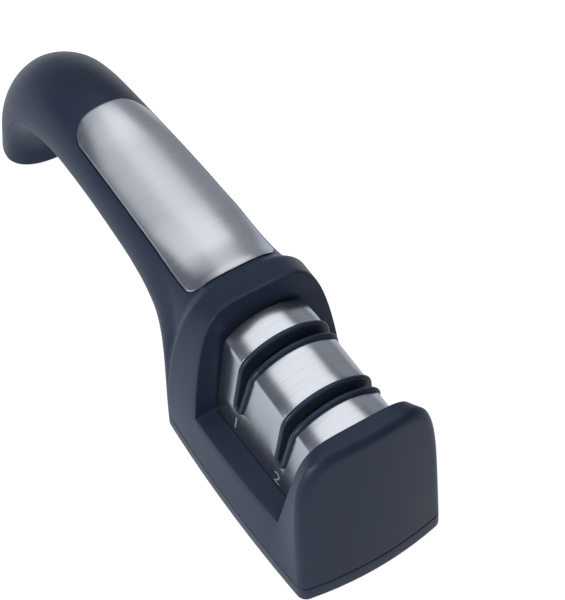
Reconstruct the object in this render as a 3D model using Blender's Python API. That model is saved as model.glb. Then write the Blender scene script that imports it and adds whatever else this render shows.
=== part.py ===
"""Two-stage pull-through knife sharpener with an arched handle.

Lengths are metres, +Z is up and +X points out of the block's front face. The
origin is on the table, under the middle of the sharpener's length. Places along
the sharpener are written as distances behind the foremost point of its front.
"""
import math

import bmesh
import bpy
import numpy as np
from mathutils import Matrix, Vector

# Overall form of the block
FRONT_BOW = 0.0028
FRONT_LEAN_DEG = 6.84
BASE_HALF_WIDTH = 0.0284
FRONT_TAPER = 0.0026
REAR_TAPER = 0.0005
WIDEST_PLACE = 0.056
SEAM_HEIGHT = 0.0067
LEDGE_HEIGHT = 0.0243
LEDGE_THICKNESS = 0.003
HOOD_HEIGHT = 0.068
HOOD_FACE = 0.0635
HOOD_BAND = 0.0128
RIDGE_DROP = 0.0025
FRONT_CREST_DROP = 0.0026
FRONT_WALL_DROP = 0.0008
FRONT_WALL_BACK = 0.019
WALL_DRAFT_DEG = 5.4
FRONT_EDGE_RADIUS = 0.0026

# Lean of the block's sides, and how square its upright outlines are, at the
# front face, at the back of the front wall and at the hood
SIDE_LEANS_DEG = (0.6, 8.0, 4.0)
CORNER_SHARES = (4.4, 5.0, 5.5)
SHOULDER_SHARES = (4.8, 11.0, 2.3)
RIDGE_CORNER_SHARE = 4.4

# Handle and foot
HANDLE_REACH = 0.136
SIDE_LINE_HEIGHT = 0.0452
ARCH_HEIGHT = 0.0358
WAIST_HALF_WIDTH = 0.0173
FOOT_HALF_WIDTH = 0.0203
FOOT_CROWN = 0.0165
FOOT_BELLY = 0.010
REAR_CORNER_DEPTH = 0.006
RIDGE_LEAN_BACK = 0.0027

# Walls and working gaps
SHELL_WALL = 0.0022
BLOCK_WALL = 0.0024
PART_GAP = 0.0003
CUT_OVERRUN = 0.004

# Steel inlay on the handle
PLATE_THICKNESS = 0.0009
PLATE_PROUD = 0.0003
PLATE_NEAR = 0.0808
PLATE_LENGTH = 0.085
PLATE_NEAR_HALF_WIDTH = 0.0154
PLATE_FAR_HALF_WIDTH = 0.0134
PLATE_NEAR_CORNER = 0.003
PLATE_FAR_CORNER = 0.0085
PLATE_NEAR_BOW = 0.0004

# Sharpening module
LEDGE_REAR_WIDTH = 0.0091
LEDGE_FRONT_WIDTH = 0.0108
CREASE_SETBACK = 0.00484
CREASE_DROP = 0.0058
ARCH_TOP_HEIGHT = 0.0611
MODULE_END_GAP = 0.0004
STEEL_THICKNESS = 0.0008
MODULE_WALL = 0.002
MODULE_END_WALL = 0.0028
MODULE_MIDDLE_WALL = 0.003
SLOT_WIDTH = 0.0069
SLOT_TIP_HEIGHT = 0.0342
FINE_SLOT_PLACE = 0.0286
SLOT_PITCH = 0.0232
BLADE_GAP = 0.0044
RIM_PROUD = 0.0005
RIM_WIDTH = 0.001
MODULE_FLANGE_THICKNESS = 0.0022
MODULE_FLANGE_RIM = 0.0042

# Wheels, axle and keeper
AXLE_HEIGHT = 0.0405
AXLE_RADIUS = 0.0020
WHEEL_SIDE_ROOM = 0.00286
WHEEL_HUB_RADIUS = 0.0036
WHEEL_RIM_THICKNESS = 0.00137
WHEEL_CONE_DEG = 21.0
RUNNING_GAP = 0.0001
SPACER_RADIUS = 0.0032
KEEPER_THICKNESS = 0.0022
KEEPER_STRIP_HALF_WIDTH = 0.006

# Base plate, pads and screws
BASE_WALL = 0.0022
BASE_FLOOR = 0.002
PAD_THICKNESS = 0.0017
PAD_PROUD = 0.0005
PAD_MARGIN = 0.003
FOOT_PAD_THICKNESS = 0.0035
BOSS_RADIUS = 0.0027
SCREW_HEAD_RADIUS = 0.0021
SCREW_HEAD_HEIGHT = 0.0012
SCREW_SHANK_RADIUS = 0.0011
BASE_SCREW_BITE = 0.007
MODULE_SCREW_BITE = 0.002
COVER_SCREW_BITE = 0.006
COVER_BOSS_RADIUS = 0.0036
COVER_WELL_FLOOR = 0.0025
SCREW_INSET = 0.0036
COVER_SCREW_SHARES = (0.27, 0.62)

# Ribs of the handle between the block's ridge and the foot. Each row gives, as
# shares, the side line (run of the reach, rise of the side line's height), the
# crown (run of the reach, rise of the hood's height), the belly (run of the
# reach, rise of the arch's height), the width (of block over waist, of foot
# over waist) and the squareness of crown and belly.
RIB_SHARES = (
    (0.024, 0.376, 0.014, 0.9590, 0.066, 0.363, 0.975, 0.00, 3.9, 5.0),
    (0.033, 0.597, 0.029, 0.9544, 0.074, 0.559, 0.910, 0.00, 3.3, 4.2),
    (0.053, 0.774, 0.048, 0.9515, 0.090, 0.726, 0.785, 0.00, 2.8, 3.6),
    (0.086, 0.881, 0.075, 0.9470, 0.123, 0.852, 0.605, 0.00, 2.45, 3.1),
    (0.130, 0.936, 0.115, 0.9410, 0.167, 0.922, 0.425, 0.00, 2.25, 2.8),
    (0.189, 0.969, 0.178, 0.9320, 0.226, 0.966, 0.290, 0.00, 2.1, 2.6),
    (0.277, 0.996, 0.270, 0.9160, 0.299, 0.994, 0.190, 0.00, 2.05, 2.6),
    (0.395, 1.000, 0.395, 0.8970, 0.402, 1.000, 0.130, 0.00, 2.0, 2.6),
    (0.512, 0.982, 0.520, 0.8810, 0.505, 0.978, 0.075, 0.00, 2.0, 2.6),
    (0.623, 0.942, 0.637, 0.8660, 0.601, 0.941, 0.030, 0.00, 2.0, 2.6),
    (0.718, 0.898, 0.748, 0.8410, 0.689, 0.888, 0.000, 0.02, 2.0, 2.6),
    (0.807, 0.834, 0.854, 0.7880, 0.770, 0.816, 0.000, 0.10, 1.95, 2.7),
    (0.880, 0.737, 0.954, 0.6910, 0.840, 0.693, 0.000, 0.27, 1.9, 2.8),
    (0.935, 0.586, 1.035, 0.5440, 0.888, 0.517, 0.000, 0.50, 1.9, 2.9),
    (0.974, 0.376, 1.090, 0.3460, 0.916, 0.307, 0.000, 0.75, 2.0, 3.0),
)
FOOT_CORNER_SHARES = (2.4, 3.0)
ROUND_SHARE = 2.0

# Mesh fineness, as counts
ARC_LOWER_POINTS = 5
ARC_UPPER_POINTS = 11
BOTTOM_POINTS = 5
RIB_STEPS = 2
ROUND_SEGMENTS = 24
SCREW_SEGMENTS = 12
EDGE_STEPS = 3
PLAN_STEPS = 10
MODULE_ARC_STEPS = 10
MODULE_RINGS = 5
CORNER_STEPS = 5
SLOT_TIP_STEPS = 8
CURVE_SAMPLES = 160

# Shares that place the points of the outlines
ARC_SPLIT_SHARE = 0.3
ARC_TURN_SHARE = 0.2
FACE_MIDDLE_SHARE = 0.45
FACE_RING_SHARES = (0.15, 0.45, 0.75)
LEDGE_RING_SHARES = (0.25, 0.5, 0.75)
BAND_RING_SHARES = (0.35, 0.7)
PLAN_BOTTOM_SHARE = 0.12
HOLLOW_TOP_SHARE = 0.76
HOLLOW_WIDTH_SHARE = 0.78

# Meeting points closer than this are one point
MERGE_DISTANCE = 0.000002

# Sizes that follow from the ones above
FRONT_HALF_WIDTH = BASE_HALF_WIDTH - FRONT_TAPER
REAR_HALF_WIDTH = BASE_HALF_WIDTH - REAR_TAPER
FRONT_CREST_HEIGHT = HOOD_HEIGHT - FRONT_CREST_DROP
FRONT_WALL_HEIGHT = FRONT_CREST_HEIGHT - FRONT_WALL_DROP
RIDGE_PLACE = HOOD_FACE + HOOD_BAND
FOOT_LINE = RIDGE_PLACE + HANDLE_REACH
OVERALL_LENGTH = FOOT_LINE + FOOT_CROWN
FRONT_LEAN = math.tan(math.radians(FRONT_LEAN_DEG))
WALL_DRAFT = math.tan(math.radians(WALL_DRAFT_DEG))
RIDGE_HEIGHT = HOOD_HEIGHT - RIDGE_DROP
COARSE_SLOT_PLACE = FINE_SLOT_PLACE + SLOT_PITCH
MODULE_FRONT = FRONT_WALL_BACK + MODULE_END_GAP
MODULE_REAR = HOOD_FACE - MODULE_END_GAP
MODULE_LENGTH = MODULE_REAR - MODULE_FRONT
MODULE_MIDDLE = FINE_SLOT_PLACE + SLOT_PITCH / 2
MODULE_SKIN = STEEL_THICKNESS + PART_GAP
CREASE_HEIGHT = ARCH_TOP_HEIGHT - CREASE_DROP
MODULE_REAR_HALF_WIDTH = BASE_HALF_WIDTH - LEDGE_REAR_WIDTH
MODULE_FRONT_HALF_WIDTH = BASE_HALF_WIDTH - LEDGE_FRONT_WIDTH
CREASE_HALF_WIDTH = MODULE_REAR_HALF_WIDTH - CREASE_SETBACK
WHEEL_RADIUS = CREASE_HALF_WIDTH - MODULE_SKIN - MODULE_WALL - WHEEL_SIDE_ROOM
WHEEL_CONE_RISE = (WHEEL_RADIUS - WHEEL_HUB_RADIUS) * math.tan(math.radians(WHEEL_CONE_DEG))
WHEEL_THICKNESS = PART_GAP / 2 + WHEEL_CONE_RISE + WHEEL_RIM_THICKNESS
FLANGE_FRONT = MODULE_FRONT + SCREW_INSET + BOSS_RADIUS + PART_GAP
FLANGE_REAR = MODULE_REAR - SCREW_INSET - BOSS_RADIUS - PART_GAP
LEDGE_UNDERSIDE = LEDGE_HEIGHT - LEDGE_THICKNESS
FLANGE_TOP = LEDGE_UNDERSIDE - PART_GAP
FLANGE_UNDERSIDE = FLANGE_TOP - MODULE_FLANGE_THICKNESS
KEEPER_TOP = FLANGE_UNDERSIDE - PART_GAP
KEEPER_UNDERSIDE = KEEPER_TOP - KEEPER_THICKNESS
KEEPER_MIDDLE = (KEEPER_UNDERSIDE + KEEPER_TOP) / 2
PLATE_REAR = PLATE_NEAR + PLATE_LENGTH
BASE_UNDERSIDE = PAD_PROUD
PAD_CEILING = PAD_THICKNESS + PART_GAP
BASE_FLOOR_TOP = PAD_CEILING + BASE_FLOOR
BASE_TOP = SEAM_HEIGHT - PART_GAP
HEAD_BORE = SCREW_HEAD_RADIUS + PART_GAP
SHANK_BORE = SCREW_SHANK_RADIUS + PART_GAP
UP = Vector((0, 0, 1))
FORWARD = Vector((1, 0, 0))

# Colour, roughness and metallic value of each finish
FINISHES = {
    "soft_touch_plastic": ((0.030, 0.036, 0.050), 0.48, 0.0),
    "black_plastic": ((0.012, 0.014, 0.020), 0.35, 0.0),
    "brushed_steel": ((0.56, 0.58, 0.61), 0.30, 1.0),
    "axle_steel": ((0.50, 0.50, 0.50), 0.25, 1.0),
    "diamond_steel": ((0.24, 0.24, 0.25), 0.75, 0.8),
    "fine_ceramic": ((0.10, 0.10, 0.11), 0.55, 0.0),
    "rubber": ((0.02, 0.02, 0.022), 0.85, 0.0),
    "zinc_screw": ((0.62, 0.62, 0.60), 0.35, 1.0),
}


def clear_scene():
    """Remove what the scene already holds."""
    for item in list(bpy.data.objects):
        bpy.data.objects.remove(item, do_unlink=True)


def finish(name):
    """Return the named finish as a Principled material."""
    material = bpy.data.materials.get(name)
    if material is None:
        colour, roughness, metallic = FINISHES[name]
        material = bpy.data.materials.new(name)
        material.use_nodes = True
        shader = material.node_tree.nodes["Principled BSDF"]
        shader.inputs["Base Color"].default_value = (*colour, 1.0)
        shader.inputs["Roughness"].default_value = roughness
        shader.inputs["Metallic"].default_value = metallic
    return material


def place(distance, across, height):
    """Return the point that lies a distance behind the foremost point."""
    return Vector((OVERALL_LENGTH / 2 - distance, across, height))


def blend(first, last, share):
    """Value or point at a share of the way from the first to the last."""
    return first + (last - first) * share


def make_object(name, mesh_source, finish_name, smooth_angle_deg=35.0):
    """Turn a bmesh into a named object with its finish."""
    bmesh.ops.recalc_face_normals(mesh_source, faces=mesh_source.faces[:])
    mesh = bpy.data.meshes.new(name)
    mesh_source.to_mesh(mesh)
    mesh_source.free()
    mesh.materials.append(finish(finish_name))
    mesh.shade_smooth()
    mesh.set_sharp_from_angle(angle=math.radians(smooth_angle_deg))
    item = bpy.data.objects.new(name, mesh)
    bpy.context.scene.collection.objects.link(item)
    return item


def make_cutter(name, mesh_source):
    """A body that only cuts or joins, and so isn't shown."""
    cutter = make_object(name, mesh_source, "black_plastic")
    cutter.hide_render = True
    cutter.display_type = "WIRE"
    return cutter


def combine(item, tool, operation):
    """Add a Boolean modifier with an exact solver."""
    modifier = item.modifiers.new(operation.title() + " " + tool.name, "BOOLEAN")
    modifier.operation = operation
    modifier.solver = "EXACT"
    modifier.object = tool


def add_skin(body, rings):
    """Add a closed body made of rings of equal point counts."""
    rows = [[body.verts.new(point) for point in ring] for ring in rings]
    count = len(rows[0])
    for near, far in zip(rows[:-1], rows[1:]):
        for index in range(count):
            following = (index + 1) % count
            body.faces.new((near[index], near[following], far[following], far[index]))
    body.faces.new(rows[0])
    body.faces.new(list(reversed(rows[-1])))


def skin(rings):
    """Join closed rings of equal point counts into one closed body."""
    body = bmesh.new()
    add_skin(body, rings)
    bmesh.ops.remove_doubles(body, verts=body.verts[:], dist=MERGE_DISTANCE)
    return body


def rods(feet, profile):
    """Upright rods with one profile of (height, radius), one on each foot."""
    body = bmesh.new()
    for foot in feet:
        rings = []
        for height, radius in profile:
            ring = []
            for step in range(SCREW_SEGMENTS):
                angle = math.pi * (2 * step + 1) / SCREW_SEGMENTS
                ring.append(foot + Vector((radius * math.cos(angle), radius * math.sin(angle), height)))
            rings.append(ring)
        add_skin(body, rings)
    return body


def straight_rods(feet, height, radius):
    """Upright rods of one radius, one on each foot."""
    return rods(feet, ((0.0, radius), (height, radius)))


def prism(outline, direction):
    """Extrude a flat outline along a direction into a closed body."""
    return skin([outline, [point + direction for point in outline]])


def box(front, rear, half_width, bottom, top, across=0.0):
    """A block between two places along the sharpener."""
    body = bmesh.new()
    centre = place((front + rear) / 2, across, (bottom + top) / 2)
    size = Matrix.Diagonal((rear - front, 2 * half_width, top - bottom, 1.0))
    bmesh.ops.create_cube(body, size=1.0, matrix=Matrix.Translation(centre) @ size)
    return body


def cylinder(centre, direction, length, radius, segments):
    """A round rod that starts at the centre and runs along the direction."""
    body = bmesh.new()
    turn = direction.to_track_quat("Z", "Y").to_matrix().to_4x4()
    middle = Matrix.Translation(centre + direction.normalized() * (length / 2))
    bmesh.ops.create_cone(
        body, cap_ends=True, segments=segments, radius1=radius, radius2=radius,
        depth=length, matrix=middle @ turn,
    )
    return body


def turned(profile, centre, direction, segments):
    """Spin a closed profile of (along, radius) points about an axis."""
    body = bmesh.new()
    turn = direction.to_track_quat("Z", "Y").to_matrix()
    points = [body.verts.new(centre + turn @ Vector((radius, 0, along))) for along, radius in profile]
    edges = [body.edges.new(pair) for pair in zip(points, points[1:] + points[:1])]
    bmesh.ops.spin(
        body, geom=points + edges, cent=centre, axis=direction, angle=2 * math.pi,
        steps=segments, use_merge=True, use_duplicate=False,
    )
    bmesh.ops.remove_doubles(body, verts=body.verts[:], dist=MERGE_DISTANCE)
    return body


def resample(points, count, turn_weight):
    """Spread points along a line, closer together where it turns."""
    points = np.array(points)
    steps = np.diff(points, axis=0)
    lengths = np.hypot(steps[:, 0], steps[:, 1])
    headings = np.unwrap(np.arctan2(steps[:, 1], steps[:, 0]))
    turns = np.abs(np.diff(headings, prepend=headings[0]))
    travel = np.concatenate(([0.0], np.cumsum(lengths + turn_weight * turns)))
    targets = np.linspace(0.0, travel[-1], count)
    across = np.interp(targets, travel, points[:, 0])
    up = np.interp(targets, travel, points[:, 1])
    return list(zip(across, up))


def arc_side(half_width, height, corners, lean=0.0, split=None):
    """Half of an upright outline, from its foot at the side to its top.

    The point after the lower stretch lies at the split height, so that
    neighbouring outlines keep that point in line.
    """
    squareness, shoulder = corners
    angles = np.linspace(0.0, math.pi / 2, CURVE_SAMPLES)
    rise = height * np.sin(angles) ** (2 / shoulder)
    fall = np.clip(1 - (rise / height) ** shoulder, 0.0, 1.0)
    across = (half_width - lean * rise) * fall ** (1 / squareness)
    curve = np.column_stack((across, rise))
    split = height * ARC_SPLIT_SHARE if split is None else split
    at_split = np.array([[np.interp(split, rise, across), split]])
    lower = np.vstack((curve[rise < split], at_split))
    upper = np.vstack((at_split, curve[rise > split]))
    turn_weight = height * ARC_TURN_SHARE
    low_points = resample(lower, ARC_LOWER_POINTS + 1, turn_weight)
    high_points = resample(upper, ARC_UPPER_POINTS + 1, turn_weight)
    return low_points[:-1] + high_points


def full_arc(half_width, height, corners, lean=0.0, split=None):
    """An upright outline from one side over the top to the other side."""
    side = arc_side(half_width, height, corners, lean, split)
    mirrored = [(-across, up) for across, up in side]
    return mirrored + side[-2::-1]


def bottom_line(half_width):
    """Points between the two ends of an outline, along its bottom."""
    steps = range(1, BOTTOM_POINTS + 1)
    return [half_width * (1 - 2 * step / (BOTTOM_POINTS + 1)) for step in steps]


def base_half_width(distance):
    """Half the width of the base at a place along the block."""
    away = (WIDEST_PLACE - distance) / (WIDEST_PLACE - FRONT_BOW)
    return BASE_HALF_WIDTH - (BASE_HALF_WIDTH - FRONT_HALF_WIDTH) * away ** 2


def along_block(distance, values):
    """Value at a place, from those at the front, the front wall's back and the hood."""
    return float(np.interp(distance, (FRONT_BOW, FRONT_WALL_BACK, HOOD_FACE), values))


def block_outline(distance, inset=0.0, top_height=None):
    """Upright outline of the block at a place, above the seam."""
    corners = (along_block(distance, CORNER_SHARES), along_block(distance, SHOULDER_SHARES))
    if top_height is None:
        top_height = along_block(distance, (FRONT_CREST_HEIGHT, FRONT_WALL_HEIGHT, HOOD_HEIGHT))
    height = top_height - SEAM_HEIGHT - inset
    lean = math.tan(math.radians(along_block(distance, SIDE_LEANS_DEG)))
    split = LEDGE_HEIGHT - SEAM_HEIGHT
    return full_arc(base_half_width(distance) - inset, height, corners, lean, split)


def front_face_distance(across, height):
    """How far the bowed, leaning front face lies behind its foremost point."""
    return FRONT_BOW * (across / FRONT_HALF_WIDTH) ** 2 + FRONT_LEAN * height


def block_ring(distance_of, inset=0.0, outline_place=0.0, top_height=None, ledge=False):
    """Closed ring round the block, whose places follow a rule."""
    outline = block_outline(outline_place, inset, top_height)
    half_width = outline[-1][0]
    outline = outline + [(across, 0.0) for across in bottom_line(half_width)]
    ring = []
    for across, up in outline:
        height = SEAM_HEIGHT + up
        if ledge:
            height = min(height, LEDGE_HEIGHT)
        ring.append(place(distance_of(across, height), across, height))
    return ring


def front_wall_back(across, height):
    """Place of the front wall's rear face, which leans above the ledges."""
    return FRONT_WALL_BACK - WALL_DRAFT * max(height - LEDGE_HEIGHT, 0.0)


def hood_front(across, height):
    """Place of the hood's front face, which leans above the ledges."""
    return HOOD_FACE + WALL_DRAFT * max(height - LEDGE_HEIGHT, 0.0)


def front_rings():
    """Rings of the front face, from its middle out to its rounded edge."""
    edge_place = FRONT_BOW + FRONT_EDGE_RADIUS
    face = block_outline(edge_place, FRONT_EDGE_RADIUS)
    half_width = face[-1][0]
    face = face + [(across, 0.0) for across in bottom_line(half_width)]
    middle = (FRONT_CREST_HEIGHT - SEAM_HEIGHT) * FACE_MIDDLE_SHARE
    rings = []
    for share in FACE_RING_SHARES:
        ring = []
        for across, up in face:
            y = across * share
            z = SEAM_HEIGHT + middle + (up - middle) * share
            ring.append(place(front_face_distance(y, z), y, z))
        rings.append(ring)
    for step in range(EDGE_STEPS + 1):
        angle = math.pi / 2 * step / EDGE_STEPS
        inset = FRONT_EDGE_RADIUS * (1 - math.sin(angle))
        setback = FRONT_EDGE_RADIUS * (1 - math.cos(angle))

        def rounded_edge(across, height, setback=setback):
            return front_face_distance(across, height) + setback

        rings.append(block_ring(rounded_edge, inset, edge_place))
    return rings


def block_rings():
    """Rings of the block from the front face to the hood's ridge."""
    rings = front_rings()
    rings.append(block_ring(front_wall_back, outline_place=FRONT_WALL_BACK))
    rings.append(block_ring(lambda a, h: FRONT_WALL_BACK, outline_place=FRONT_WALL_BACK, ledge=True))
    for share in LEDGE_RING_SHARES:
        middle = blend(FRONT_WALL_BACK, HOOD_FACE, share)
        rings.append(block_ring(lambda a, h, d=middle: d, outline_place=middle, ledge=True))
    rings.append(block_ring(lambda a, h: HOOD_FACE, outline_place=HOOD_FACE, ledge=True))
    rings.append(block_ring(hood_front, outline_place=HOOD_FACE))
    rim_place = HOOD_FACE + WALL_DRAFT * (HOOD_HEIGHT - LEDGE_HEIGHT)
    for share in BAND_RING_SHARES:
        band_place = blend(rim_place, RIDGE_PLACE, share)
        top = blend(HOOD_HEIGHT, RIDGE_HEIGHT, share)
        rings.append(block_ring(
            lambda a, h, d=band_place: d, outline_place=band_place, top_height=top))
    return rings


def rib_table():
    """All ribs of the handle as rows of sizes, from the ridge to the foot."""
    ridge = (
        RIDGE_PLACE + RIDGE_LEAN_BACK, SEAM_HEIGHT, RIDGE_PLACE, RIDGE_HEIGHT,
        RIDGE_PLACE + RIDGE_LEAN_BACK + REAR_CORNER_DEPTH, SEAM_HEIGHT,
        REAR_HALF_WIDTH, RIDGE_CORNER_SHARE, RIDGE_CORNER_SHARE + 1,
    )
    foot = (
        FOOT_LINE, BASE_UNDERSIDE, OVERALL_LENGTH, BASE_UNDERSIDE,
        FOOT_LINE - FOOT_BELLY, BASE_UNDERSIDE,
        FOOT_HALF_WIDTH, *FOOT_CORNER_SHARES,
    )
    rows = [ridge]
    for side_run, side_rise, crown_run, crown_rise, belly_run, belly_rise, \
            block_width, foot_width, crown_square, belly_square in RIB_SHARES:
        width = (
            WAIST_HALF_WIDTH
            + block_width * (REAR_HALF_WIDTH - WAIST_HALF_WIDTH)
            + foot_width * (FOOT_HALF_WIDTH - WAIST_HALF_WIDTH)
        )
        rows.append((
            RIDGE_PLACE + side_run * HANDLE_REACH, side_rise * SIDE_LINE_HEIGHT,
            RIDGE_PLACE + crown_run * HANDLE_REACH, crown_rise * HOOD_HEIGHT,
            RIDGE_PLACE + belly_run * HANDLE_REACH, belly_rise * ARCH_HEIGHT,
            width, crown_square, belly_square,
        ))
    rows.append(foot)
    return np.array(rows)


def smooth_rows(rows, steps):
    """Add rows between the given ones along a smooth curve through them."""
    spans = np.hypot(*np.diff(rows[:, :2], axis=0).T) + np.hypot(*np.diff(rows[:, 2:4], axis=0).T)
    knots = np.concatenate(([0.0], np.cumsum(spans)))
    slopes = np.gradient(rows, knots, axis=0)
    result = []
    for index in range(len(rows) - 1):
        span = knots[index + 1] - knots[index]
        for step in range(steps):
            t = step / steps
            result.append(
                (2 * t ** 3 - 3 * t ** 2 + 1) * rows[index]
                + (t ** 3 - 2 * t ** 2 + t) * span * slopes[index]
                + (3 * t ** 2 - 2 * t ** 3) * rows[index + 1]
                + (t ** 3 - t ** 2) * span * slopes[index + 1]
            )
    result.append(rows[-1])
    return result


def rib_ring(row, belly=False, offset=0.0, gap=0.0, skirt=0.0):
    """Closed ring of one rib: crown or belly arc, and its side line.

    The offset moves the arc outwards and the gap moves its foot off the side
    line. A core's ring has a skirt, which reaches past the side line.
    """
    side = Vector((row[0], row[1]))
    tip = Vector((row[4], row[5])) if belly else Vector((row[2], row[3]))
    squareness = row[8] if belly else row[7]
    direction = (tip - side).normalized()
    start = side + direction * gap
    height = (tip - side).length - gap + offset
    half_width = row[6] + offset
    corners = (squareness, ROUND_SHARE)
    outline = full_arc(half_width, height, corners)
    bottom = bottom_line(half_width)
    if skirt:
        bottom = [half_width] + bottom + [-half_width]
    outline = outline + [(across, -skirt) for across in bottom]
    ring = []
    for across, up in outline:
        point = start + direction * up
        ring.append(place(point.x, across, point.y))
    return ring


def handle_rings(rows, **shape):
    """Rings of all ribs, with the same settings."""
    return [rib_ring(row, **shape) for row in rows]


def plan_outline(height, inset):
    """Plan of the block at a height: bowed front, swelling sides, round rear."""
    raised = max(height - SEAM_HEIGHT, 0.0)
    edge_place = FRONT_BOW + FRONT_EDGE_RADIUS
    rear_place = RIDGE_PLACE + RIDGE_LEAN_BACK

    def half_width(distance):
        lean = math.tan(math.radians(along_block(distance, SIDE_LEANS_DEG)))
        return base_half_width(distance) - inset - lean * raised

    right = []
    for step in range(EDGE_STEPS):
        angle = math.pi / 2 * step / EDGE_STEPS
        across = half_width(edge_place) - FRONT_EDGE_RADIUS * (1 - math.sin(angle))
        setback = FRONT_EDGE_RADIUS * (1 - math.cos(angle)) + inset
        right.append((front_face_distance(across, height) + setback, across))
    side_start = front_face_distance(half_width(edge_place), height) + FRONT_EDGE_RADIUS + inset
    for step in range(PLAN_STEPS):
        distance = blend(side_start, rear_place, step / PLAN_STEPS)
        right.append((distance, half_width(distance)))
    rear_corners = (RIDGE_CORNER_SHARE + 1, ROUND_SHARE)
    rear_arc = full_arc(REAR_HALF_WIDTH - inset, REAR_CORNER_DEPTH - inset, rear_corners)
    rear = [(rear_place + back, -across) for across, back in rear_arc]
    left = [(distance, -across) for distance, across in reversed(right)]
    front = []
    for across in reversed(bottom_line(right[0][1])):
        front.append((front_face_distance(across, height) + inset, across))
    return [place(distance, across, height) for distance, across in right + rear + left + front]


def rounded_corners(corners):
    """Round the corners of a flat outline, each given with its radius."""
    points = []
    for index, (here, radius) in enumerate(corners):
        before = Vector(corners[index - 1][0])
        after = Vector(corners[(index + 1) % len(corners)][0])
        here = Vector(here)
        if radius == 0:
            points.append(here)
            continue
        inward = (before - here).normalized()
        onward = (after - here).normalized()
        half_angle = inward.angle(onward) / 2
        reach = radius / math.tan(half_angle)
        centre = here + (inward + onward).normalized() * (radius / math.sin(half_angle))
        start = here + inward * reach - centre
        finish_spoke = here + onward * reach - centre
        sweep = start.angle_signed(finish_spoke)
        for step in range(CORNER_STEPS + 1):
            spoke = start.copy()
            spoke.rotate(Matrix.Rotation(-sweep * step / CORNER_STEPS, 2))
            points.append(centre + spoke)
    return points


def plate_outline(grow):
    """Plan of the steel inlay, as (distance, across) points."""
    near = PLATE_NEAR + PLATE_NEAR_BOW - grow
    near_width = PLATE_NEAR_HALF_WIDTH + grow
    far_width = PLATE_FAR_HALF_WIDTH + grow
    far = PLATE_REAR + grow
    corners = [
        ((near, near_width), PLATE_NEAR_CORNER + grow),
        ((far, far_width), PLATE_FAR_CORNER + grow),
        ((far, -far_width), PLATE_FAR_CORNER + grow),
        ((near, -near_width), PLATE_NEAR_CORNER + grow),
    ]
    points = [(point.x, point.y) for point in rounded_corners(corners)]
    flat_half_width = abs(points[-1][1])
    for across in reversed(bottom_line(flat_half_width)):
        bow = PLATE_NEAR_BOW * (1 - (across / flat_half_width) ** 2)
        points.append((near - bow, across))
    return points


def crown_skin(rows, offset):
    """Crown of the handle, its faces split alike at every offset."""
    body = skin(handle_rings(rows, offset=offset))
    bmesh.ops.triangulate(body, faces=body.faces[:], quad_method="FIXED")
    return body


def plate_layer(name, rows, grow, top_offset, bottom_offset):
    """The part of a layer over the handle's crown that lies in the inlay's plan."""
    layer = make_object(name, crown_skin(rows, top_offset), "brushed_steel")
    bottom = blend(SIDE_LINE_HEIGHT, HOOD_HEIGHT, PLAN_BOTTOM_SHARE)
    top = HOOD_HEIGHT + CUT_OVERRUN
    outline = [place(distance, across, bottom) for distance, across in plate_outline(grow)]
    plan = make_cutter("inlay_plan", prism(outline, UP * (top - bottom)))
    under = make_cutter("inlay_under", crown_skin(rows, bottom_offset))
    combine(layer, plan, "INTERSECT")
    combine(layer, under, "DIFFERENCE")
    return layer


def shifted_down(row):
    """A rib moved below the foot or the seam, so that a core cuts through."""
    lower = row.copy()
    lower[[1, 3, 5]] -= CUT_OVERRUN
    return lower


def crown_core_rows(rows):
    """Ribs of the hollow in the hood and the handle's crown."""
    rim_place = HOOD_FACE + WALL_DRAFT * (HOOD_HEIGHT - LEDGE_HEIGHT)
    start = rows[0].copy()
    start[[0, 2]] = rim_place + SHELL_WALL
    return [start] + list(rows) + [shifted_down(rows[-1])]


def rib_at(rows, share):
    """The rib nearest a share of the handle's reach."""
    wanted = RIDGE_PLACE + share * HANDLE_REACH
    return min(rows, key=lambda row: abs(row[0] - wanted))


def base_screw_places():
    """Places of the four screws beside the module's well."""
    near = MODULE_FRONT + SCREW_INSET
    far = MODULE_REAR - SCREW_INSET
    places = []
    for distance in (near, far):
        across = module_half_width(distance, LEDGE_UNDERSIDE) + 2 * PART_GAP + BOSS_RADIUS
        places += [(distance, across), (distance, -across)]
    return places


def module_screw_places():
    """Places of the four screws through the module's flange."""
    places = []
    for distance in (FLANGE_FRONT + SCREW_INSET, FLANGE_REAR - SCREW_INSET):
        across = module_half_width(distance, FLANGE_TOP) + MODULE_FLANGE_RIM / 2
        places += [(distance, across), (distance, -across)]
    return places


def feet_at(places, height):
    """Feet of rods that stand on places of screws at one height."""
    return [place(distance, across, height) for distance, across in places]


def module_half_width(distance, height, offset=0.0):
    """Half width of the module's leaning side at a place and height."""
    foot = blend(MODULE_FRONT_HALF_WIDTH, MODULE_REAR_HALF_WIDTH, (distance - MODULE_FRONT) / MODULE_LENGTH)
    run = foot - CREASE_HALF_WIDTH
    rise = CREASE_HEIGHT - LEDGE_HEIGHT
    slant = math.hypot(run, rise)
    return foot - run * (height - LEDGE_HEIGHT) / rise + offset * slant / rise


def flange_half_width():
    """Half width of the module's flange and of the keeper under it."""
    return module_half_width(MODULE_MIDDLE, FLANGE_TOP) + MODULE_FLANGE_RIM


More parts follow.
